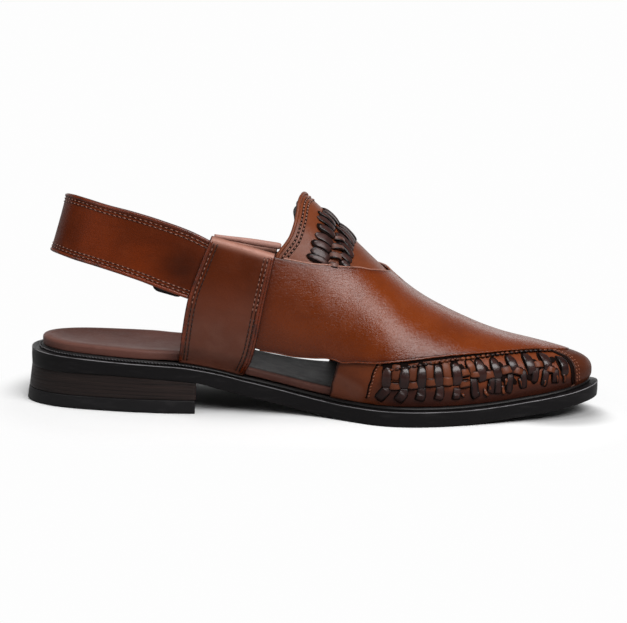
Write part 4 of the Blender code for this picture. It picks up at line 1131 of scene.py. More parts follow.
def vampForm(side):
    # places of one half on the last, how far it has thinned to lie flat at the toe, and its wall
    turns, girths = vampGrid(side)
    thin = smooth(*vamp["thinned"], lastPoint(turns, girths)[..., 0])
    return turns, girths, thin, vamp["wall"] * (1 - 0.35 * thin)


def vampHalf(side):
    turns, girths, thin, wall = vampForm(side)
    points, normals = skin(turns, girths, vamp["gap"] * (1 - 0.6 * thin) + wall)
    foot = np.arange(vamp["foot"])
    throatGaps = np.where(foot < vamp["throat"], edgeGaps(points, ["last"]), 99)
    gaps = np.minimum(edgeGaps(points, ["first", "left"]), throatGaps)
    weight = 1 - smooth(vamp["throat"] - 3, vamp["throat"] + 1, foot)
    sheets = []
    for sheet, radius in (
        ((points, normals, gaps), vamp["round"]),
        ((points - normals * wall[..., None], -normals, gaps), vamp["round"] * innerRound),
    ):
        for edge in ("first", "left"):
            sheet = rollSide(*sheet, edge, radius, vamp["wall"] / 2)
        # the top edge is only rolled along the throat
        share = np.concatenate([np.ones(sheet[0].shape[1] - len(foot)), weight])
        sheets.append(rollSide(*sheet, "last", radius, vamp["wall"] / 2, share))
    (outer, _, gaps), (under, _, underGaps) = sheets
    rows, columns = outer.shape[:2]
    count = rows * columns
    faces = gridFaces(rows, columns) + gridFaces(rows, columns, start=count, flip=True)
    rear = [i * columns for i in range(rows)]
    top = [(rows - 1) * columns + j for j in range(columns - vamp["foot"] + vamp["throat"])]
    for line in (list(range(columns)), rear, top):
        faces += wallFaces(line, count)
    # painted shade where it lies against the side strap, and darker along its lower edge
    flank = np.clip(outer[..., 0] - vamp["shadeFrom"], 0, None)
    shade = np.clip(0.72 * np.exp(-flank / vamp["shadeReach"]) + 0.5 * np.exp(-gaps / 3), 0, 1)
    values = {
        "edgeGap": np.array([gaps, underGaps]).ravel(),
        "inside": np.repeat([0.0, 1.0], count),
        "shade": np.array([shade, shade * 0]).ravel(),
    }
    return np.array([outer, under]).reshape(-1, 3), faces, values


def buildVamp():
    halves = [vampHalf(side) for side in (-1, 1)]
    spots, faces = gather([half[:2] for half in halves])
    values = {key: np.concatenate([half[2][key] for half in halves]) for key in halves[0][2]}
    addMesh("vampFace", spots, faces, vampLeather, ["vamp"], values, join=0.02)


def buildVampRims():
    # burnished bead along the vamp's lower edge, and a pale bead along its throat whose colour is a painted
    # highlight
    rims, throats = [], []
    foot, throat = slice(3, vamp["foot"] - 4), slice(5, vamp["throat"] + 2)
    for side in (-1, 1):
        turns, girths, thin, wall = vampForm(side)
        spots, normals = skin(turns, girths, vamp["gap"] * (1 - 0.6 * thin) + wall - 0.42)
        size = 0.5 * (1 - 0.45 * thin[0, foot])
        rims.append(ribbonParts(spots[0, foot], normals[0, foot], size, size, 10, 1.0))
        throats.append(ribbonParts(spots[-1, throat], normals[-1, throat], 0.55, 0.6, 10, 1.0))
    addStrands("vampRims", rims, rimLeather, gap=0.9)
    addStrands("throatRim", throats, paintedHighlightRim, gap=0.9)


buildBand()
buildTongue()
buildVamp()
buildVampRims()
print("toe band, tongue and vamp built")

# side straps, each one leather folded over at the top
sideStrap = {
    "ply": 1.4,
    "eye": 2.9,
    "centre": 0.55,
    "round": 0.45,
    "folds": {-1: (93.6, 84.6), 1: (83.6, 78.4)},
    "floors": {-1: (57.2, 47.2), 1: (47.2, 40.6)},
    "seat": 0.6,
}
foldRadius = sideStrap["eye"] / 2 + sideStrap["ply"]
outerPly = sideStrap["centre"] + foldRadius


def strapFoot(x):
    return upperFace(x) + last["rollHeight"] + last["seatGap"] + 0.2


def sideStrapSpots(side, across, level):
    # x and z on a side strap: across is 0 at its rear edge, level is 0 at its foot and 1 at its fold
    topRear, topFront = (height - foldRadius for height in sideStrap["folds"][side])
    feet = [strapFoot(strapEdge(side, column, 19.0)) for column in (1, 2)]
    rearZ = feet[0] + (topRear - feet[0]) * level
    frontZ = feet[1] + (topFront - feet[1]) * level
    rearX, frontX = strapEdge(side, 1, rearZ), strapEdge(side, 2, frontZ)
    x = rearX + (frontX - rearX) * across
    z = rearZ + (frontZ - rearZ) * across
    sag = strapFoot(x) - feet[0] - (feet[1] - feet[0]) * across
    return x, z + sag * (1 - level) ** 2


def strapFloorLevel(side):
    low = strapFoot(strapEdge(side, 1, 19.0))
    return (sideStrap["floors"][side][0] - low) / (sideStrap["folds"][side][0] - foldRadius - low)


def strapOff(level):
    # the outer face stands nearer to the last at the foot
    return sideStrap["seat"] + (outerPly - sideStrap["seat"]) * smooth(0, 0.2, level)


def strapFace(side, across, level):
    # outer face of a side strap and its normal
    across, level = np.broadcast_arrays(np.asarray(across, float), np.asarray(level, float))
    x, z = sideStrapSpots(side, across, level)
    return sideSkin(side, x, z, strapOff(level))


def sideSheen(side):
    # painted pale sheen along the fold and at the foot
    def sheenOf(spots):
        topRear, topFront = sideStrap["folds"][side]
        top = topRear + (topFront - topRear) * np.clip((spots[:, 0] + 51) / 33, 0, 1)
        return -0.70 * np.exp(-(((spots[:, 2] - top + 2.0) / 1.9) ** 2)) - 0.16 * smooth(76, 36, spots[:, 2])

    return sheenOf


def buildSideStrap(side, name, slot):
    floor = strapFloorLevel(side)
    ply = sideStrap["ply"]
    innerPly = outerPly - 2 * ply
    across = np.linspace(0, 1, 41)
    up, normal = strapFace(side, across, np.linspace(0, 1, 81)[:-1, None])
    centre, out = sideSkin(side, *sideStrapSpots(side, across, 1.0), sideStrap["centre"])
    below = sideSkin(side, *sideStrapSpots(side, across, 0.985), sideStrap["centre"])[0]
    rise = unit(centre - below)
    rise = unit(rise - out * np.sum(rise * out, -1, keepdims=True))
    angles = np.linspace(0, math.pi, 17)[:, None, None]
    turned = out * np.cos(angles) + rise * np.sin(angles)
    # the inner layer stops short of the front edge, where the vamp tucks in
    levels = np.linspace(1, floor * 0.93, 40)[1:, None]
    inner = across * (1 - 0.085 * smooth(1.0, 0.86, levels))
    opened = sideStrap["eye"] * smooth(floor * 0.97, floor + (1 - floor) * 0.1, levels)
    down, way = sideSkin(side, *sideStrapSpots(side, inner, levels), innerPly - opened)
    points = np.concatenate([up, centre + turned * foldRadius, down])
    normals = np.concatenate([normal, turned, -way])
    shape = (points, normals, ply, sideStrap["round"], ["left", "right", "last"])
    addSlab(name, *shape, sideLeather, slot, [slot], sideSheen(side))
    # lining of the lower part, which runs down beside the inner sole
    levels = np.linspace(0.0, floor * 0.99, 40)[:, None]
    off = strapOff(levels) - ply - 0.02
    points, normals = sideSkin(side, *sideStrapSpots(side, across, levels), off)
    deep = off - innerPly + (2.0 + innerPly) * (1 - smooth(0, 0.3, levels))
    addSlab(name + "Lining", points, normals, deep, 0.3, ["left", "right"], darkLining, slot)


buildSideStrap(-1, "nearSideStrap", "side_strap_medial")
buildSideStrap(1, "farSideStrap", "side_strap_lateral")
print("side straps built")

# back strap, buckle and fastening strap
# middle of the back strap with its half width, from inside the big-toe side eye round the heel
backStrapRows = [
    (-34, -36.3, 68.8, 14.0), (-47, -36.6, 72.0, 14.8), (-58, -36.3, 75.9, 15.9), (-68, -35.2, 79.8, 16.6),
    (-83, -32.4, 84.5, 16.6), (-97, -28.7, 88.1, 16.4), (-110, -24.0, 90.8, 16.1), (-121, -18.4, 93.0, 16.2),
    (-129, -11.6, 94.3, 16.0), (-133.2, -4.0, 94.1, 15.6), (-133, 4.0, 92.6, 14.8), (-129, 11.6, 90.2, 14.0),
    (-121, 18.6, 86.2, 13.5), (-110, 25.2, 81.1, 13.1), (-100, 30.2, 76.7, 12.8),
]
backStrap = {"wall": 2.3, "up": (0.27, 0.0, 0.96), "round": 0.7, "stations": 190, "across": 41}
buckle = {
    "centre": (-76.4, 38.0, 66.7),
    "along": (-1.0, -0.16, 0.30),
    "reach": 8.0,
    "halfHeight": 16.1,
    "rod": 3.0,
    "corner": 3.0,
    "prong": 1.1,
    "foldPly": 1.6,
    "strapHalf": 12.8,
    "slotHalf": 2.2,
}
fastener = {"wall": 1.8, "half": 12.6, "round": 0.5}
keeper = {"width": 8.0, "wall": 1.3, "corner": 1.2, "station": 11}
buckleA = unit(buckle["along"])
buckleW = unit(np.array(backStrap["up"]) - buckleA * np.dot(backStrap["up"], buckleA))
buckleN = np.cross(buckleA, buckleW)
buckleN = buckleN * np.sign(buckleN[1])
barHole = buckle["rod"] / 2 + last["seatGap"] + 0.1
prongReach = buckle["rod"] / 2 + last["seatGap"] + buckle["prong"]


def buckleSpot(along, across, out):
    return np.array(buckle["centre"]) + buckleA * along + buckleW * across + buckleN * out


def pathThrough(spots, count):
    spots = np.asarray(spots, float)
    run = runAlong(spots)
    slope = np.gradient(spots, run, axis=0)
    at = np.linspace(0, run[-1], count)
    i = np.clip(np.searchsorted(run, at, side="right") - 1, 0, len(run) - 2)
    gap = np.diff(run)[i][:, None]
    return eased(spots, slope, gap, i, (at - run[i])[:, None] / gap)


def strapFrames(path):
    along = unit(np.gradient(path[:, :3], axis=0))
    up = np.array(backStrap["up"])
    width = unit(up - along * (along @ up)[:, None])
    return along, width, unit(np.cross(width, along))


# the back strap runs on into the buckle
backRows = backStrapRows + [(*buckleSpot(a, 0, 0), buckle["strapHalf"]) for a in (14, buckle["reach"])]
backPath = pathThrough(backRows, backStrap["stations"])
coarseBack = pathThrough(backRows, 49)
toBuckle = np.linalg.norm(backPath[:, :3] - backPath[-1, :3], axis=1)


def strapSpots(path, frames, inEye, side, shares):
    # middle face of a strap; inEye is 1 where it follows the flank of the last and 0 where it lies flat
    _, width, out = frames
    middle = path[:, None, :3] + width[:, None] * (path[:, 3:4] * shares[None, :])[..., None]
    flank, _ = sideSkin(side, middle[..., 0], middle[..., 2], sideStrap["centre"])
    step = np.sum((flank - middle) * out[:, None], -1) * inEye[:, None]
    return middle + out[:, None] * step[..., None]


def backStrapFace():
    # outer face of the back strap, the normals of its middle and its outward direction
    path, frames = backPath, strapFrames(backPath)
    lateral = np.arange(len(path)) > len(path) // 2
    inEye = np.where(lateral, 0, smooth(-86, -64, path[:, 0]))
    middle = strapSpots(path, frames, inEye, -1, np.linspace(-1, 1, backStrap["across"]))
    half = backStrap["wall"] / 2
    bulge = np.where(lateral, 1 - smooth(3.5, 9, toBuckle), 0) * (barHole + buckle["foldPly"] - half)
    out = np.broadcast_to(frames[2][:, None], middle.shape)
    return middle + out * (half + bulge)[:, None, None], gridNormals(middle), out


def strapShade(spots):
    # painted shade where it goes into the near eye, and a little darker round the heel
    near = (spots[:, 1] < 0) * np.exp(-(((spots[:, 0] + 66) / 12.5) ** 2) - ((spots[:, 2] - 76) / 14) ** 2)
    return near + 0.25 * smooth(-127, -134, spots[:, 0])


def buildBackStrap():
    face, normals, out = backStrapFace()
    normals = unit(normals * np.sign(np.sum(normals * out, -1, keepdims=True)) + out * 0.001)
    keep = toBuckle > 4.8
    thick = np.full(face[keep].shape[:2], backStrap["wall"])
    shape = (face[keep], normals[keep], thick, backStrap["round"], ["first", "left", "right"])
    addSlab("backStrapFace", *shape, strapLeather, "back_strap", ["back_strap"], strapShade)
    # the end is folded round the rear bar in two tongues, one each side of the prong
    ply, reach = buckle["foldPly"], buckle["reach"]
    half, slot = buckle["strapHalf"], buckle["slotHalf"]
    outer = barHole + ply
    for k, (low, high) in enumerate(((-half, -slot), (slot, half))):
        across = np.linspace(low, high, 15)
        rows, turned = [], []
        for a in np.linspace(6.2, 0, 7)[:-1]:
            rows.append([buckleSpot(reach + a, w, outer) for w in across])
            turned.append([buckleN] * len(across))
        for angle in np.linspace(0, math.pi, 17):
            way = buckleN * math.cos(angle) - buckleA * math.sin(angle)
            rows.append([buckleSpot(reach, w, 0) + way * outer for w in across])
            turned.append([way] * len(across))
        for a in np.linspace(0, 15, 14)[1:]:
            drop = -outer + (outer - backStrap["wall"] / 2 - ply) * smooth(1, 7, a)
            rows.append([buckleSpot(reach + a, w, drop) for w in across])
            turned.append([-buckleN] * len(across))
        shape = (np.array(rows), np.array(turned), ply, 0.5, ["first", "last", "left", "right"])
        addSlab(f"barFold{k}", *shape, strapLeather, "back_strap")


def buildLoopBacking():
    # rolled leather behind the near fold, with its cut end towards the tongue; its pale colour is painted
    # light on its top
    t = np.linspace(0, 1, 40)
    spots, normals = sideSkin(-1, -50.5 + 33.0 * t, 93.2 - 4.6 * t, -2.4)
    size = 1.0 + 0.75 * smooth(0, 0.7, t)
    size[-2:] *= (0.93, 0.7)
    roll = ribbonParts(spots, normals, size, size * 1.15, 14, 0.95)
    addStrands("loopBacking", [roll], litFoldLeather, gap=1.6)


def fastenerPath():
    # in the far eye, under the front bar, over the rear bar and back along the strap
    eyeSpots = ((-34, 61.0), (-42, 62.3), (-50, 63.6), (-60, 65.4))
    spots = [sideSkin(1, x, z, sideStrap["centre"])[0] for x, z in eyeSpots]
    wall, gap = fastener["wall"], last["seatGap"]
    under = buckle["rod"] / 2 + 2 * gap + wall / 2
    over = prongReach + buckle["prong"] + gap + wall / 2
    reach = buckle["reach"]
    for along, out in ((-reach - 0.5, -under), (-reach + 1.5, -under + 0.5), (0.5, 1.0), (reach - 1, over)):
        spots.append(buckleSpot(along, 0, out))
    spots.append(buckleSpot(reach + 3, 0, over))
    out = strapFrames(coarseBack)[2]
    lift = backStrap["wall"] / 2 + gap + wall / 2
    for back in (7, 9, 11, 13, 14):
        i = len(coarseBack) - 1 - back
        spots.append(coarseBack[i, :3] + out[i] * (lift + 0.1))
    path = pathThrough([(*spot, fastener["half"]) for spot in spots], 110)
    tip = np.linalg.norm(path[:, :3] - path[-1, :3], axis=1)
    path[:, 3] *= np.sqrt(np.clip(1 - np.clip(1 - (tip + 0.25) / 11, 0, 1) ** 2, 0, 1))
    return path


def buildFastener():
    path = fastenerPath()
    frames = strapFrames(path)
    inEye = smooth(-69, -64, path[:, 0])
    middle = strapSpots(path, frames, inEye, 1, np.linspace(-1, 1, 25))
    out = -np.broadcast_to(frames[2][:, None], middle.shape)
    face = middle + out * fastener["wall"] / 2
    shape = (face, out, fastener["wall"], fastener["round"], ["first", "last", "left", "right"])
    addSlab("fasteningStrap", *shape, strapLeather, "fastening_strap", ["fastening_strap"])


def rodParts(path, radius, closed, up, sides):
    path = np.asarray(path, float)
    along = unit(np.roll(path, -1, 0) - np.roll(path, 1, 0)) if closed else unit(np.gradient(path, axis=0))
    across = unit(np.cross(np.array(up), along))
    over = np.cross(along, across)
    radius = np.broadcast_to(np.asarray(radius, float), (len(path),))
    angles = np.arange(sides) / sides * 2 * math.pi
    points = path[:, None] + radius[:, None, None] * (
        across[:, None] * np.cos(angles)[None, :, None] + over[:, None] * np.sin(angles)[None, :, None]
    )
    if closed:
        points = np.concatenate([points, points[:1]])
    faces = gridFaces(len(points), sides, wrap=True)
    if not closed:
        faces += endFaces(len(points), sides)
    return points.reshape(-1, 3), faces


def buildBuckle():
    reach, half, corner = buckle["reach"], buckle["halfHeight"], buckle["corner"]
    path = []
    for k, (a, w) in enumerate([(1, 1), (-1, 1), (-1, -1), (1, -1)]):
        for t in np.linspace(0, math.pi / 2, 9):
            turn = t + k * math.pi / 2
            along = a * (reach - corner) + corner * math.cos(turn)
            path.append(buckleSpot(along, w * (half - corner) + corner * math.sin(turn), 0))
    path = resample(np.array(path + path[:1]), step=1.2)[:-1]
    spots, faces = rodParts(path, buckle["rod"] / 2, True, buckleN, 18)
    addMesh("buckleFrame", spots, faces, buckleLacquer, ["buckle_frame"])
    hook = []
    for t in np.linspace(0.25 * math.pi, 1.5 * math.pi, 23):
        hook.append(buckleSpot(reach - prongReach * math.cos(t), 0, -prongReach * math.sin(t)))
    hook += [buckleSpot(a, 0, prongReach) for a in np.linspace(reach - 1.5, -reach - 3.4, 18)]
    radius = np.full(len(hook), buckle["prong"])
    radius[-3:] *= np.array([0.97, 0.85, 0.5])
    spots, faces = rodParts(hook, radius, False, buckleW, 14)
    addMesh("buckleProng", spots, faces, buckleLacquer, ["buckle_prong"])


def buildKeeper():
    i = len(coarseBack) - 1 - keeper["station"]
    spot, t, w, n = coarseBack[i, :3], *(way[i] for way in strapFrames(coarseBack))
    gap, wall = last["seatGap"], keeper["wall"]
    low = -backStrap["wall"] / 2 - gap - 0.2
    high = backStrap["wall"] / 2 + 2 * gap + fastener["wall"] + 0.3
    half = coarseBack[i, 3] + gap + 0.2
    corner, loop = keeper["corner"], []
    for k, (a, b) in enumerate(((1, 1), (-1, 1), (-1, -1), (1, -1))):
        for angle in np.linspace(0, math.pi / 2, 6):
            turn = angle + k * math.pi / 2
            ca = (half + wall - corner) if a > 0 else -(half + wall - corner)
            cb = (high + wall - corner) if b > 0 else (low - wall + corner)
            c, s = math.cos(turn), math.sin(turn)
            loop.append((ca + corner * c, cb + corner * s, c, s))
    loop = resample(loop + loop[:1], step=0.8)
    loop[:, 2:] = unit(loop[:, 2:])
    shifts = np.linspace(-0.5, 0.5, 13) * keeper["width"]
    rows = [[spot + w * a + n * b + t * shift for shift in shifts] for a, b, _, _ in loop]
    turned = [[w * c + n * s] * len(shifts) for _, _, c, s in loop]
    shape = (np.array(rows), np.array(turned), wall, 0.4, ["left", "right"])
    addSlab("keeperLoop", *shape, strapLeather, "keeper", ["keeper"])


buildBackStrap()
buildFastener()
buildBuckle()
buildKeeper()
buildLoopBacking()
print("straps and buckle built")

# weave, seams and thread, laid on the last
shake = np.random.default_rng(11)


def onLast(side, x, share, off):
    x, share = np.broadcast_arrays(np.asarray(x, float), np.asarray(share, float))
    return skin(turnAtX(x), share if side < 0 else 2 - share, off)


def straight(start, end, count):
    # x and share of a straight strand, and t from 0 to 1 along it
    t = np.linspace(0, 1, count)
    return start[0] + (end[0] - start[0]) * t, start[1] + (end[1] - start[1]) * t, t


def lace(
    side, start, end, width, lift, tuck=0.7, thick=0.75, bend=0.0, taper=0.25, square=0.72, nose=0.0, count=17
):
    # a strand that comes out of the leather at start, arches over it and goes back in at end
    x, share, t = straight(start, end, count)
    off = (lift + tuck) * np.sin(math.pi * np.clip(t, 0.004, 0.996)) ** 0.42 - tuck
    spots, normals = onLast(side, x, share, off)
    if bend:
        sideways = unit(np.cross(unit(np.gradient(spots, axis=0)), normals))
        spots = spots + sideways * (bend * np.sin(math.pi * t))[:, None]
    rounded = np.clip(1 - np.abs(2 * t - 1) ** 5, 0, 1) ** 0.5
    half = width / 2 * (1 - taper + taper * rounded)
    if nose:
        # narrower and rounded where it comes out
        half = half * (0.1 + 0.9 * np.sqrt(1 - np.clip(1 - t / nose, 0, 1) ** 2))
    return ribbonParts(spots, normals, half, thick, 16, square)


def patch(side, start, end, width, off=0.12, thick=0.16, sharp=2.2):
    # thin dark lens of painted shade in the slit that a strand comes out of
    x, share, t = straight(start, end, 15)
    spots, normals = onLast(side, x, share, off)
    rounded = np.clip(1 - np.abs(2 * t - 1) ** sharp, 0.02, 1) ** 0.5
    return ribbonParts(spots, normals, width / 2 * rounded, thick * rounded + 0.02, 12, 0.9)


# laces of the toe weave: x and share where each comes out above, x and share where it goes in, width
upperLaces = [
    (36.9, 0.434, 36.4, 0.356, 4.1), (46.4, 0.460, 45.8, 0.366, 4.3), (55.4, 0.482, 55.3, 0.374, 4.2),
    (63.7, 0.503, 65.0, 0.384, 4.1), (72.8, 0.526, 74.8, 0.392, 4.6), (80.0, 0.556, 82.8, 0.470, 3.4),
    (85.4, 0.574, 88.3, 0.412, 4.5), (93.7, 0.606, 96.4, 0.430, 4.4), (102.4, 0.664, 105.6, 0.470, 4.2),
    (112.6, 0.722, 114.2, 0.450, 4.3), (122.6, 0.750, 122.8, 0.480, 4.2), (132.6, 0.700, 131.6, 0.400, 3.8),
]
# strips below them: x and share at the top, x and share at the bottom, width
lowerLaces = [
    (36.9, 0.362, 31.4, 0.106, 5.0), (46.4, 0.374, 42.6, 0.140, 4.8), (55.9, 0.384, 54.6, 0.188, 4.6),
    (65.9, 0.394, 64.7, 0.208, 4.5), (74.8, 0.380, 74.2, 0.205, 4.2), (83.2, 0.440, 85.6, 0.212, 4.1),
    (93.2, 0.445, 92.2, 0.330, 3.4), (96.2, 0.440, 96.0, 0.272, 3.6), (103.0, 0.470, 101.2, 0.275, 3.6),
    (109.2, 0.505, 109.7, 0.340, 3.4), (116.6, 0.560, 115.0, 0.372, 3.6), (121.9, 0.500, 120.0, 0.340, 3.4),
    (126.6, 0.500, 126.5, 0.350, 3.8),
]
# brown knots of the strand that runs along the middle: x and share at each end, width
knots = [
    (38.6, 0.364, 43.4, 0.373, 3.6), (48.4, 0.380, 53.4, 0.388, 3.8), (58.2, 0.400, 63.0, 0.408, 4.4),
    (67.2, 0.412, 71.8, 0.414, 4.4), (76.2, 0.460, 80.6, 0.476, 4.0), (76.6, 0.396, 80.8, 0.404, 3.8),
    (82.2, 0.455, 87.0, 0.460, 3.4), (89.2, 0.450, 93.8, 0.468, 4.2), (98.0, 0.488, 103.6, 0.512, 4.2),
    (104.4, 0.502, 108.8, 0.474, 4.0), (115.8, 0.552, 120.2, 0.560, 3.6), (122.6, 0.500, 126.0, 0.474, 3.6),
]
# orange ends that hang below the strand: x and share of the upper end, x and share of the lower end
tabs = [
    (77.9, 0.350, 78.6, 0.290), (89.2, 0.368, 91.2, 0.236), (91.2, 0.396, 92.1, 0.352),
    (98.6, 0.380, 99.7, 0.250), (100.5, 0.428, 100.1, 0.378), (107.3, 0.420, 108.7, 0.350),
    (120.4, 0.385, 120.2, 0.345), (126.5, 0.440, 127.6, 0.350), (131.0, 0.420, 131.6, 0.340),
]
# painted shade in the holes of the weave: x, share, width
pits = [
    (99.6, 0.425, 3.4), (77.2, 0.497, 2.6), (89.8, 0.512, 2.4), (97.8, 0.548, 2.6), (116.6, 0.600, 3.0),
    (127.8, 0.640, 4.2), (112.2, 0.420, 2.6), (104.6, 0.400, 2.4), (124.4, 0.560, 2.8),
]
weave = {"lift": 1.15, "beadPitch": 2.9, "beadDrop": 0.031, "beadSize": 0.85}
# share, x of the seam that closes the toe cap; share, x of the seam behind the weave
tipSeamRows = [
    (0.0, 137.0), (0.1, 138.9), (0.38, 138.0), (0.55, 138.5),
    (0.69, 139.1), (0.78, 137.8), (0.88, 135.4), (1.0, 134.2),
]
rearSeamRows = [(0.06, 25.6), (0.105, 26.3), (0.307, 27.6), (0.382, 29.1), (0.427, 32.0), (0.45, 34.0)]


def buildToeWeave():
    laces, strips, holes, bars, brown, ends = [], [], [], [], [], []
    lift = weave["lift"]
    for side in (-1, 1):
        for k, (x0, s0, x1, s1, width) in enumerate(upperLaces):
            w = width * (1 + 0.04 * shake.standard_normal())
            bend = 0.25 * shake.standard_normal()
            form = {"thick": 0.55, "bend": bend, "taper": 0.1, "square": 0.66, "nose": 0.5}
            strand = lace(side, (x0, s0 - 0.004), (x1, s1), w + 0.6, lift + 0.3, **form)
            (bars if k == 5 else laces).append(strand)
            holes.append(patch(side, (x0 - 0.1, s0 + 0.016), (x1, s1 + 0.01), w + 1.5))
        for x0, s0, x1, s1, width in lowerLaces:
            w = width * (1 + 0.04 * shake.standard_normal())
            form = {"thick": 0.42, "taper": 0.08, "square": 0.5}
            strips.append(lace(side, (x0, s0), (x1, s1), w, lift - 0.45, **form))
            holes.append(patch(side, (x0, s0), (x1 - 0.1, s1 - 0.012), w + 0.9, sharp=6))
        for (xa, sa, xb, sb, _), (xc, sc, xd, sd, _) in zip(upperLaces[:4], upperLaces[1:5]):
            # the wall leather puffs out between the laces
            top, foot = ((xa + xc) / 2, (sa + sc) / 2 + 0.006), ((xb + xd) / 2, (sb + sd) / 2 + 0.03)
            puff, quads, gaps = lace(side, top, foot, 4.3, 0.42, tuck=0.4, thick=0.45, taper=0.1, square=0.9)
            bars.append((puff, quads, gaps * 0 + 2.2))
        for x0, s0, x1, s1, width in knots:
            form = {"tuck": 0.8, "thick": 0.6, "taper": 0.1, "square": 0.6}
            brown.append(lace(side, (x0 - 0.4, s0), (x1 + 0.4, s1), width, lift + 0.15, **form))
            holes.append(patch(side, (x0 - 0.9, s0), (x1 + 0.9, s1), width + 1.1, sharp=6))
        for x0, s0, x1, s1 in tabs:
            form = {"tuck": 0.4, "thick": 0.5, "bend": 0.2 * shake.standard_normal(), "count": 11}
            ends.append(lace(side, (x0, s0), (x1, s1), 1.9, 0.65, **form))
        for x, share, size in pits:
            holes.append(patch(side, (x - 1.2, share + 0.026), (x + 1.2, share - 0.026), size, 0.3, 0.3))
    addStrands("toeLaces", laces, laceLeather)
    addStrands("toeStrips", strips, stripLeather)
    addStrands("toeSlitShade", holes, paintedShade)
    addStrands("toeBars", bars, barLeather)
    addStrands("toeKnots", brown, barLeather)
    addStrands("toeTabs", ends, tabLeather)


def beadRow(side, xs, shares, off, pitch, size):
    spots, normals = onLast(side, xs, shares, off)
    joined = resample(np.concatenate([spots, normals], 1), step=pitch)
    t = np.linspace(0.08, 0.92, 9)[:, None]
    arch = np.sin(math.pi * np.linspace(0.02, 0.98, 9)) ** 0.6
    beads = []
    for a, b in zip(joined, joined[1:]):
        up = unit(a[3:] + (b[3:] - a[3:]) * t)
        line = a[:3] + (b[:3] - a[:3]) * t + up * (size * 0.6 * arch)[:, None]
        beads.append(ribbonParts(line, up, size * (0.35 + 0.65 * arch), size * (0.3 + 0.5 * arch), 10, 0.95))
    return beads


def buildToeSeams():
    beads, holes, pale = [], [], []
    for side in (-1, 1):
        column = 1 if side < 0 else 2
        xs = np.linspace(34, 135, 60)
        shares = curveThrough(vampFootRows, column, xs) - weave["beadDrop"]
        beads += beadRow(side, xs, shares, 0.35, weave["beadPitch"], weave["beadSize"])
        # painted shade under the vamp's lower edge
        xs = np.linspace(33, 135, 60)
        spots, normals = onLast(side, xs, curveThrough(vampFootRows, column, xs) - 0.008, 0.02)
        holes.append(ribbonParts(spots, normals, 0.8, 0.16, 10, 0.9))
        shares = np.linspace(0.08, 0.445, 30)
        seam = curveThrough(rearSeamRows, 1, shares)
        spots, normals = onLast(side, seam, shares, -0.05)
        pale += stitchParts(spots, normals, 1.9, 1.3, 0.42, lift=0.1, lean=0.5)
        # painted shade beside the rear seam
        spots, normals = onLast(side, seam - 0.9, shares, -0.1)
        holes.append(ribbonParts(spots, normals, 0.4, 0.22, 8, 0.9))
    addStrands("toeBeads", beads, tabLeather)
    addStrands("toeSeamShade", holes, paintedShade)
    addThread("rearSeamThread", pale, warmThread)


def buildTip():
    # plain cap over the very toe, with its seam and two rows of stitches
    girths = np.linspace(0, 2, 121)
    share = np.minimum(girths, 2 - girths)
    rear = turnAtX(curveThrough(tipSeamRows, 1, share))
    turns = rear[None, :] + (1 - rear[None, :]) * np.linspace(0, 1, 30)[:, None]
    grid = np.broadcast_to(girths, turns.shape)
    points, normals = skin(turns, grid, 0.55)
    addSlab("toeTip", points, normals, 0.7, 0.35, ["first"], tipLeather, "toe_band")
    dark, thread = [], []
    for side in (-1, 1):
        shares = np.linspace(0.16, 0.89, 40)
        edge = curveThrough(tipSeamRows, 1, shares)
        # painted shade in the groove of the cap's seam
        spots, normals = onLast(side, edge - 1.1, shares, 0.12)
        width = 0.5 + 0.75 * np.sin(math.pi * np.linspace(0, 1, 40)) ** 0.8
        dark.append(ribbonParts(spots, normals, width, 0.25, 10, 0.9))
        for inset in (0.9, 2.4):
            spots, normals = onLast(side, edge + inset, shares, 0.5)
            thread += stitchParts(spots, normals, 1.9, 1.2, 0.34, lift=0.1)
    addStrands("toeTipShade", dark, paintedShade)
    addThread("toeTipThread", thread, warmThread)


# tongue weave: x and share at each end, width, rise
tongueStrands = [
    (1.6, 0.938, 9.8, 0.966, 3.8, 1.0), (9.6, 0.960, 18.2, 0.930, 3.8, 1.0),
    (-0.9, 0.838, 7.8, 0.858, 4.4, 0.8), (-1.8, 0.727, 6.9, 0.754, 4.4, 0.8),
    (-3.7, 0.645, 5.4, 0.672, 4.4, 0.8), (10.6, 0.745, 15.8, 0.748, 3.8, 0.8),
    (8.1, 0.845, 16.9, 0.836, 4.0, 0.9),
]
tongueLenses = [
    (-0.5, 0.782, 7.7, 0.804, 4.0, 1.25), (-2.9, 0.680, 5.9, 0.711, 3.8, 1.25),
    (-4.9, 0.614, 5.0, 0.645, 3.0, 1.1), (-0.1, 0.882, 8.2, 0.900, 3.4, 1.2),
    (8.4, 0.905, 17.4, 0.880, 3.8, 1.3), (9.4, 0.800, 16.7, 0.785, 4.0, 1.2),
    (10.9, 0.712, 15.2, 0.704, 3.4, 0.9),
]
tongueKnots = [
    (5.4, 0.690, 10.9, 0.726, 3.6), (6.5, 0.742, 12.2, 0.785, 3.4),
    (7.6, 0.800, 12.4, 0.832, 3.2), (5.2, 0.648, 9.6, 0.672, 3.0),
]


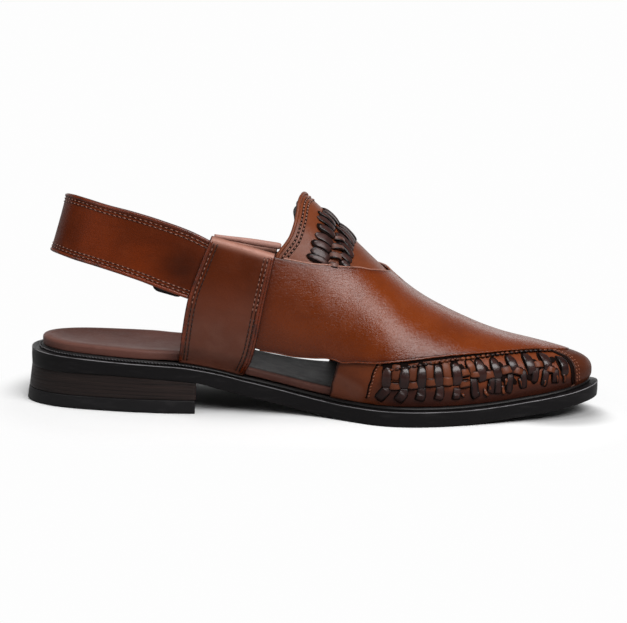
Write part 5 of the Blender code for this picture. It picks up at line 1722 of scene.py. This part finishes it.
def buildTongueWeave():
    laces, holes, brown = [], [], []
    for side in (-1, 1):
        for x0, s0, x1, s1, width, rise in tongueStrands:
            form = {"tuck": 0.5, "thick": 0.4, "bend": 0.5 * side, "taper": 0.3, "square": 0.7, "nose": 0.3}
            laces.append(lace(side, (x0, s0), (x1, s1), width, rise, **form))
        for k, (x0, s0, x1, s1, width, rise) in enumerate(tongueLenses):
            form = {"tuck": 0.6, "thick": 0.45, "bend": 0.6 * side, "taper": 0.5, "square": 0.75, "nose": 0.4}
            laces.append(lace(side, (x0, s0), (x1, s1), width, rise, **form))
            off = rise - 0.55 if k < 3 else 0.3
            holes.append(patch(side, (x0 - 0.7, s0), (x1 + 0.3, s1), width + 1.3, off))
        for x0, s0, x1, s1, width in tongueKnots:
            form = {"tuck": 0.5, "thick": 0.5, "taper": 0.05, "square": 0.5}
            brown.append(lace(side, (x0, s0), (x1, s1), width, 1.75, **form))
    for x0, x1 in ((2.0, 10.0), (9.6, 18.8)):
        form = {"tuck": 0.6, "thick": 0.9, "taper": 0.5, "square": 0.8, "nose": 0.35}
        laces.append(lace(-1, (x0, 1.0), (x1, 1.0), 4.2, 0.95, **form))
    addStrands("tongueLaces", laces, tongueStrand)
    addStrands("tongueSlitShade", holes, paintedShade)
    addStrands("tongueKnots", brown, knotLeather)


def gridLine(points, normals, i, j):
    # a line across a grid at fractional rows i and columns j
    i0, j0 = (np.clip(at.astype(int), 0, size - 2) for at, size in zip((i, j), points.shape))
    a, b = (i - i0)[:, None], (j - j0)[:, None]
    lines = []
    for grid in (points, normals):
        near = grid[i0, j0] * (1 - a) * (1 - b) + grid[i0 + 1, j0] * a * (1 - b)
        lines.append(near + grid[i0, j0 + 1] * (1 - a) * b + grid[i0 + 1, j0 + 1] * a * b)
    return lines[0], unit(lines[1])


def buildCollar():
    # rolled edge of the tongue with a cord in it, and a black lining that shows behind
    girths = np.linspace(0.45, 1.55, 150)
    edge = mirrored(collarRows, 1, girths)
    spots, normals = skin(turnAtX(edge + 0.35), girths, -0.55)
    cord = ribbonParts(spots, normals, 0.95, 1.05, 14, 1.0)
    addStrands("collarCord", [cord], tongueLeather, gap=2.2)
    poke = np.exp(-(((np.minimum(girths, 2 - girths) - 0.785) / 0.034) ** 2))
    spots, normals = skin(turnAtX(edge + 0.8 - 1.1 * poke), girths, -2.2)
    lining = ribbonParts(spots, normals, 0.9 + 0.25 * poke, 1.0, 12, 1.0)
    addStrands("collarLining", [lining], darkLining)
    # two rows of stitches
    thread, marks = [], []
    shares = np.linspace(0.50, 0.985, 80)
    for inset in (2.6, 4.3):
        for side in (-1, 1):
            edge = curveThrough(collarRows, 1 if side < 0 else 2, shares)
            spots, normals = onLast(side, edge + inset, shares, -0.2)
            thread += stitchParts(spots, normals, 2.3, 1.45, 0.44)
            # painted shade of the stitch holes along the row
            marks.append(ribbonParts(spots, normals, 0.58, 0.16, 8, 0.9))
    addThread("collarThread", thread, paleThread)
    addStrands("collarHoleShade", marks, paintedShade)


def sideStrapWidth(side, levels):
    return np.linalg.norm(strapFace(side, 1.0, levels)[0] - strapFace(side, 0.0, levels)[0], axis=1)


def buildStrapThread():
    pale, dark, marks, ridges = [], [], [], []
    face, _, out = backStrapFace()
    normals = gridNormals(face)
    normals = unit(normals * np.sign(np.sum(normals * out, -1, keepdims=True)))
    rows = np.where(toBuckle > 7.0)[0]
    half = backPath[rows, 3]

    def backLine(inset, sign):
        # a line that runs beside one long edge of the back strap
        column = (sign * (1 - inset / half) + 1) / 2 * (backStrap["across"] - 1)
        return gridLine(face, normals, rows, column)

    # back strap: two rows along each long edge
    for inset in (2.7, 4.3):
        for sign in (-1, 1):
            spots, ups = backLine(inset, sign)
            pale += stitchParts(spots, ups, 2.85, 1.75, 0.3)
            marks.append(ribbonParts(spots, ups, 0.34, 0.1, 8, 0.9))
    # side straps: two rows inside each margin, pale above and dark below
    levels = np.linspace(0.03, 0.99, 90)
    for side in (-1, 1):
        wide = sideStrapWidth(side, levels)
        for inset, front in ((2.7, False), (4.5, False), (3.4, True), (5.1, True)):
            spots, ups = strapFace(side, 1 - inset / wide if front else inset / wide, levels)
            upper = levels > (0.55 if front else 0.5)
            if not front and inset > 4:
                dark += stitchParts(spots[upper], ups[upper], 2.6, 1.2, 0.22)
            else:
                pale += stitchParts(spots[upper], ups[upper], 2.6, 1.6, 0.3)
            dark += stitchParts(spots[~upper], ups[~upper], 2.6, 1.75, 0.3)
            marks.append(ribbonParts(spots, ups, 0.32, 0.08, 8, 0.9))
    # beads along the edges
    for sign in (-1, 1):
        ridges.append(ribbonParts(*backLine(1.0, sign), 0.8, 0.42, 10, 0.95))
    levels = np.linspace(0.02, 1, 90)
    for side in (-1, 1):
        wide = sideStrapWidth(side, levels)
        for across, width in ((1.0 / wide, 0.75), (1 - 1.0 / wide, 0.55), (1 - 2.3 / wide, 0.75)):
            ridges.append(ribbonParts(*strapFace(side, across, levels), width, 0.38, 10, 0.95))
    addStrands("strapRidges", ridges, ridgeLeather, gap=0.8)
    addThread("strapThreadPale", pale, paleThread)
    addThread("strapThreadDark", dark, darkThread)
    addStrands("strapStitchLine", marks, tipLeather)


buildToeWeave()
buildToeSeams()
buildTip()
buildTongueWeave()
buildCollar()
buildStrapThread()
print("weave and thread built")

# floor, lights and camera
stageSet = {
    "half": 6.0,
    "near": 1.0,
    "far": 1.5,
    "white": 0.985,
    "bounce": 0.30,
    # painted shadow under the arch and under the toe: x, y, half length and half width in metres, how pale
    "shades": [(-0.012, 0.004, 0.062, 0.036, 0.48), (0.126, -0.018, 0.032, 0.025, 0.62)],
}
# name, place, what it aims at, width, height, power
lights = [
    ("keySoftbox", (0.515, -0.800, 0.91), (0.0, 0.0, 0.05), 1.00, 0.60, 18.6),
    ("overheadSoftbox", (-0.10, -0.10, 1.25), (0.0, 0.0, 0.0), 0.8, 0.45, 9),
    ("leftFill", (-1.1, -0.7, 0.6), (0.0, 0.0, 0.05), 0.4, 0.6, 2),
]
cameraSet = {"place": (-0.0003, -0.880, 0.215), "down": 10.68, "roll": 1.25, "lens": 97.03}


def buildWorld():
    # white behind the shoe, dim towards the camera, plain white where the camera looks past the floor
    world = bpy.data.worlds.new("studio")
    bpy.context.scene.world = world
    world.use_nodes = True
    tree = world.node_tree
    way = addNode(tree, "SeparateXYZ", {0: addNode(tree, "TexCoord").outputs["Generated"]})
    behind = ranged(tree, way.outputs["Y"], 0.05, 0.85)
    low = ranged(tree, way.outputs["Z"], 0.12, 0.42, (1.0, 0.10))
    glow = worked(tree, "ADD", worked(tree, "MULTIPLY", behind, low), 0.06)
    seen = addNode(tree, "LightPath").outputs["Is Camera Ray"]
    strength = addNode(tree, "Mix", {0: seen, 2: glow, 3: stageSet["white"]}, data_type="FLOAT")
    background = tree.nodes["Background"]
    background.inputs["Color"].default_value = (1, 1, 1, 1)
    tree.links.new(strength.outputs[0], background.inputs["Strength"])


def onPlace(tree, kind, first, *second):
    # one step of vector arithmetic; a length comes out as a number
    step = addNode(tree, "VectorMath", dict(enumerate((first, *second))), operation=kind)
    return step.outputs["Value" if kind == "LENGTH" else 0]


def buildFloor():
    half = stageSet["half"]
    mesh = bpy.data.meshes.new("floor")
    corners = [(-half, -half, 0), (half, -half, 0), (half, half, 0), (-half, half, 0)]
    mesh.from_pydata(corners, [], [(0, 1, 2, 3)])
    floor = bpy.data.objects.new("floor", mesh)
    bpy.context.scene.collection.objects.link(floor)
    material = bpy.data.materials.new("paleFloor")
    material.use_nodes = True
    tree = material.node_tree
    tree.nodes.remove(tree.nodes["Principled BSDF"])
    place = objectPlace(tree)
    fleck = noise(tree, place, 3.0, 2.0)
    seen = addNode(tree, "LightPath").outputs["Is Camera Ray"]
    pale = mixed(tree, fleck, (0.725, 0.725, 0.725), (0.745, 0.745, 0.745))
    for x, y, long, wide, deep in stageSet["shades"]:
        spot = onPlace(tree, "SUBTRACT", place, (x, y, 0.0))
        spot = onPlace(tree, "LENGTH", onPlace(tree, "MULTIPLY", spot, (1 / long, 1 / wide, 0.0)))
        shade = deep * 0.73
        pale = mixed(tree, ranged(tree, spot, 0.6, 1.15, (1.0, 0.0)), pale, (shade, shade, shade))
    bounce = stageSet["bounce"]
    card = addNode(tree, "BsdfDiffuse", {"Color": mixed(tree, seen, (bounce, bounce, bounce), pale)})
    glow = addNode(tree, "Emission", {"Color": (1.0, 1.0, 1.0), "Strength": stageSet["white"]})
    # how far outside the shoe's own outline: 1 just beyond it
    beyond = onPlace(tree, "SUBTRACT", onPlace(tree, "ABSOLUTE", place), (0.10, 0.0, 0.0))
    beyond = onPlace(tree, "MAXIMUM", beyond, (0.0, 0.0, 0.0))
    reach = onPlace(tree, "LENGTH", onPlace(tree, "MULTIPLY", beyond, (19.0, 14.5, 0.0)))
    away = ranged(tree, reach, stageSet["near"], stageSet["far"], (0.0, 1.0))
    away = worked(tree, "MULTIPLY", away, seen)
    both = addNode(tree, "MixShader", {0: away, 1: card.outputs[0], 2: glow.outputs[0]})
    tree.links.new(both.outputs[0], tree.nodes["Material Output"].inputs["Surface"])
    mesh.materials.append(material)


def addLight(name, place, aim, width, height, power):
    light = bpy.data.lights.new(name, "AREA")
    light.shape = "RECTANGLE"
    light.size, light.size_y = width, height
    light.energy = power
    lamp = bpy.data.objects.new(name, light)
    bpy.context.scene.collection.objects.link(lamp)
    lamp.location = place
    spot = np.array(aim, float) - np.array(place, float)
    lamp.rotation_mode = "QUATERNION"
    lamp.rotation_quaternion = Vector(spot.tolist()).to_track_quat("-Z", "Y")


def placeCamera():
    view = bpy.data.cameras.new("camera")
    eye = bpy.data.objects.new("camera", view)
    bpy.context.scene.collection.objects.link(eye)
    eye.location = cameraSet["place"]
    down = Matrix.Rotation(math.radians(90 - cameraSet["down"]), 3, "X")
    roll = Matrix.Rotation(math.radians(cameraSet["roll"]), 3, "Z")
    eye.rotation_mode = "QUATERNION"
    eye.rotation_quaternion = (down @ roll).to_quaternion()
    view.sensor_width = 36.0
    view.lens = cameraSet["lens"]
    view.clip_start, view.clip_end = 0.01, 50
    bpy.context.scene.camera = eye


buildWorld()
buildFloor()
for row in lights:
    addLight(*row)
placeCamera()
bpy.context.scene.view_settings.view_transform = "Standard"
print("floor, lights and camera placed")
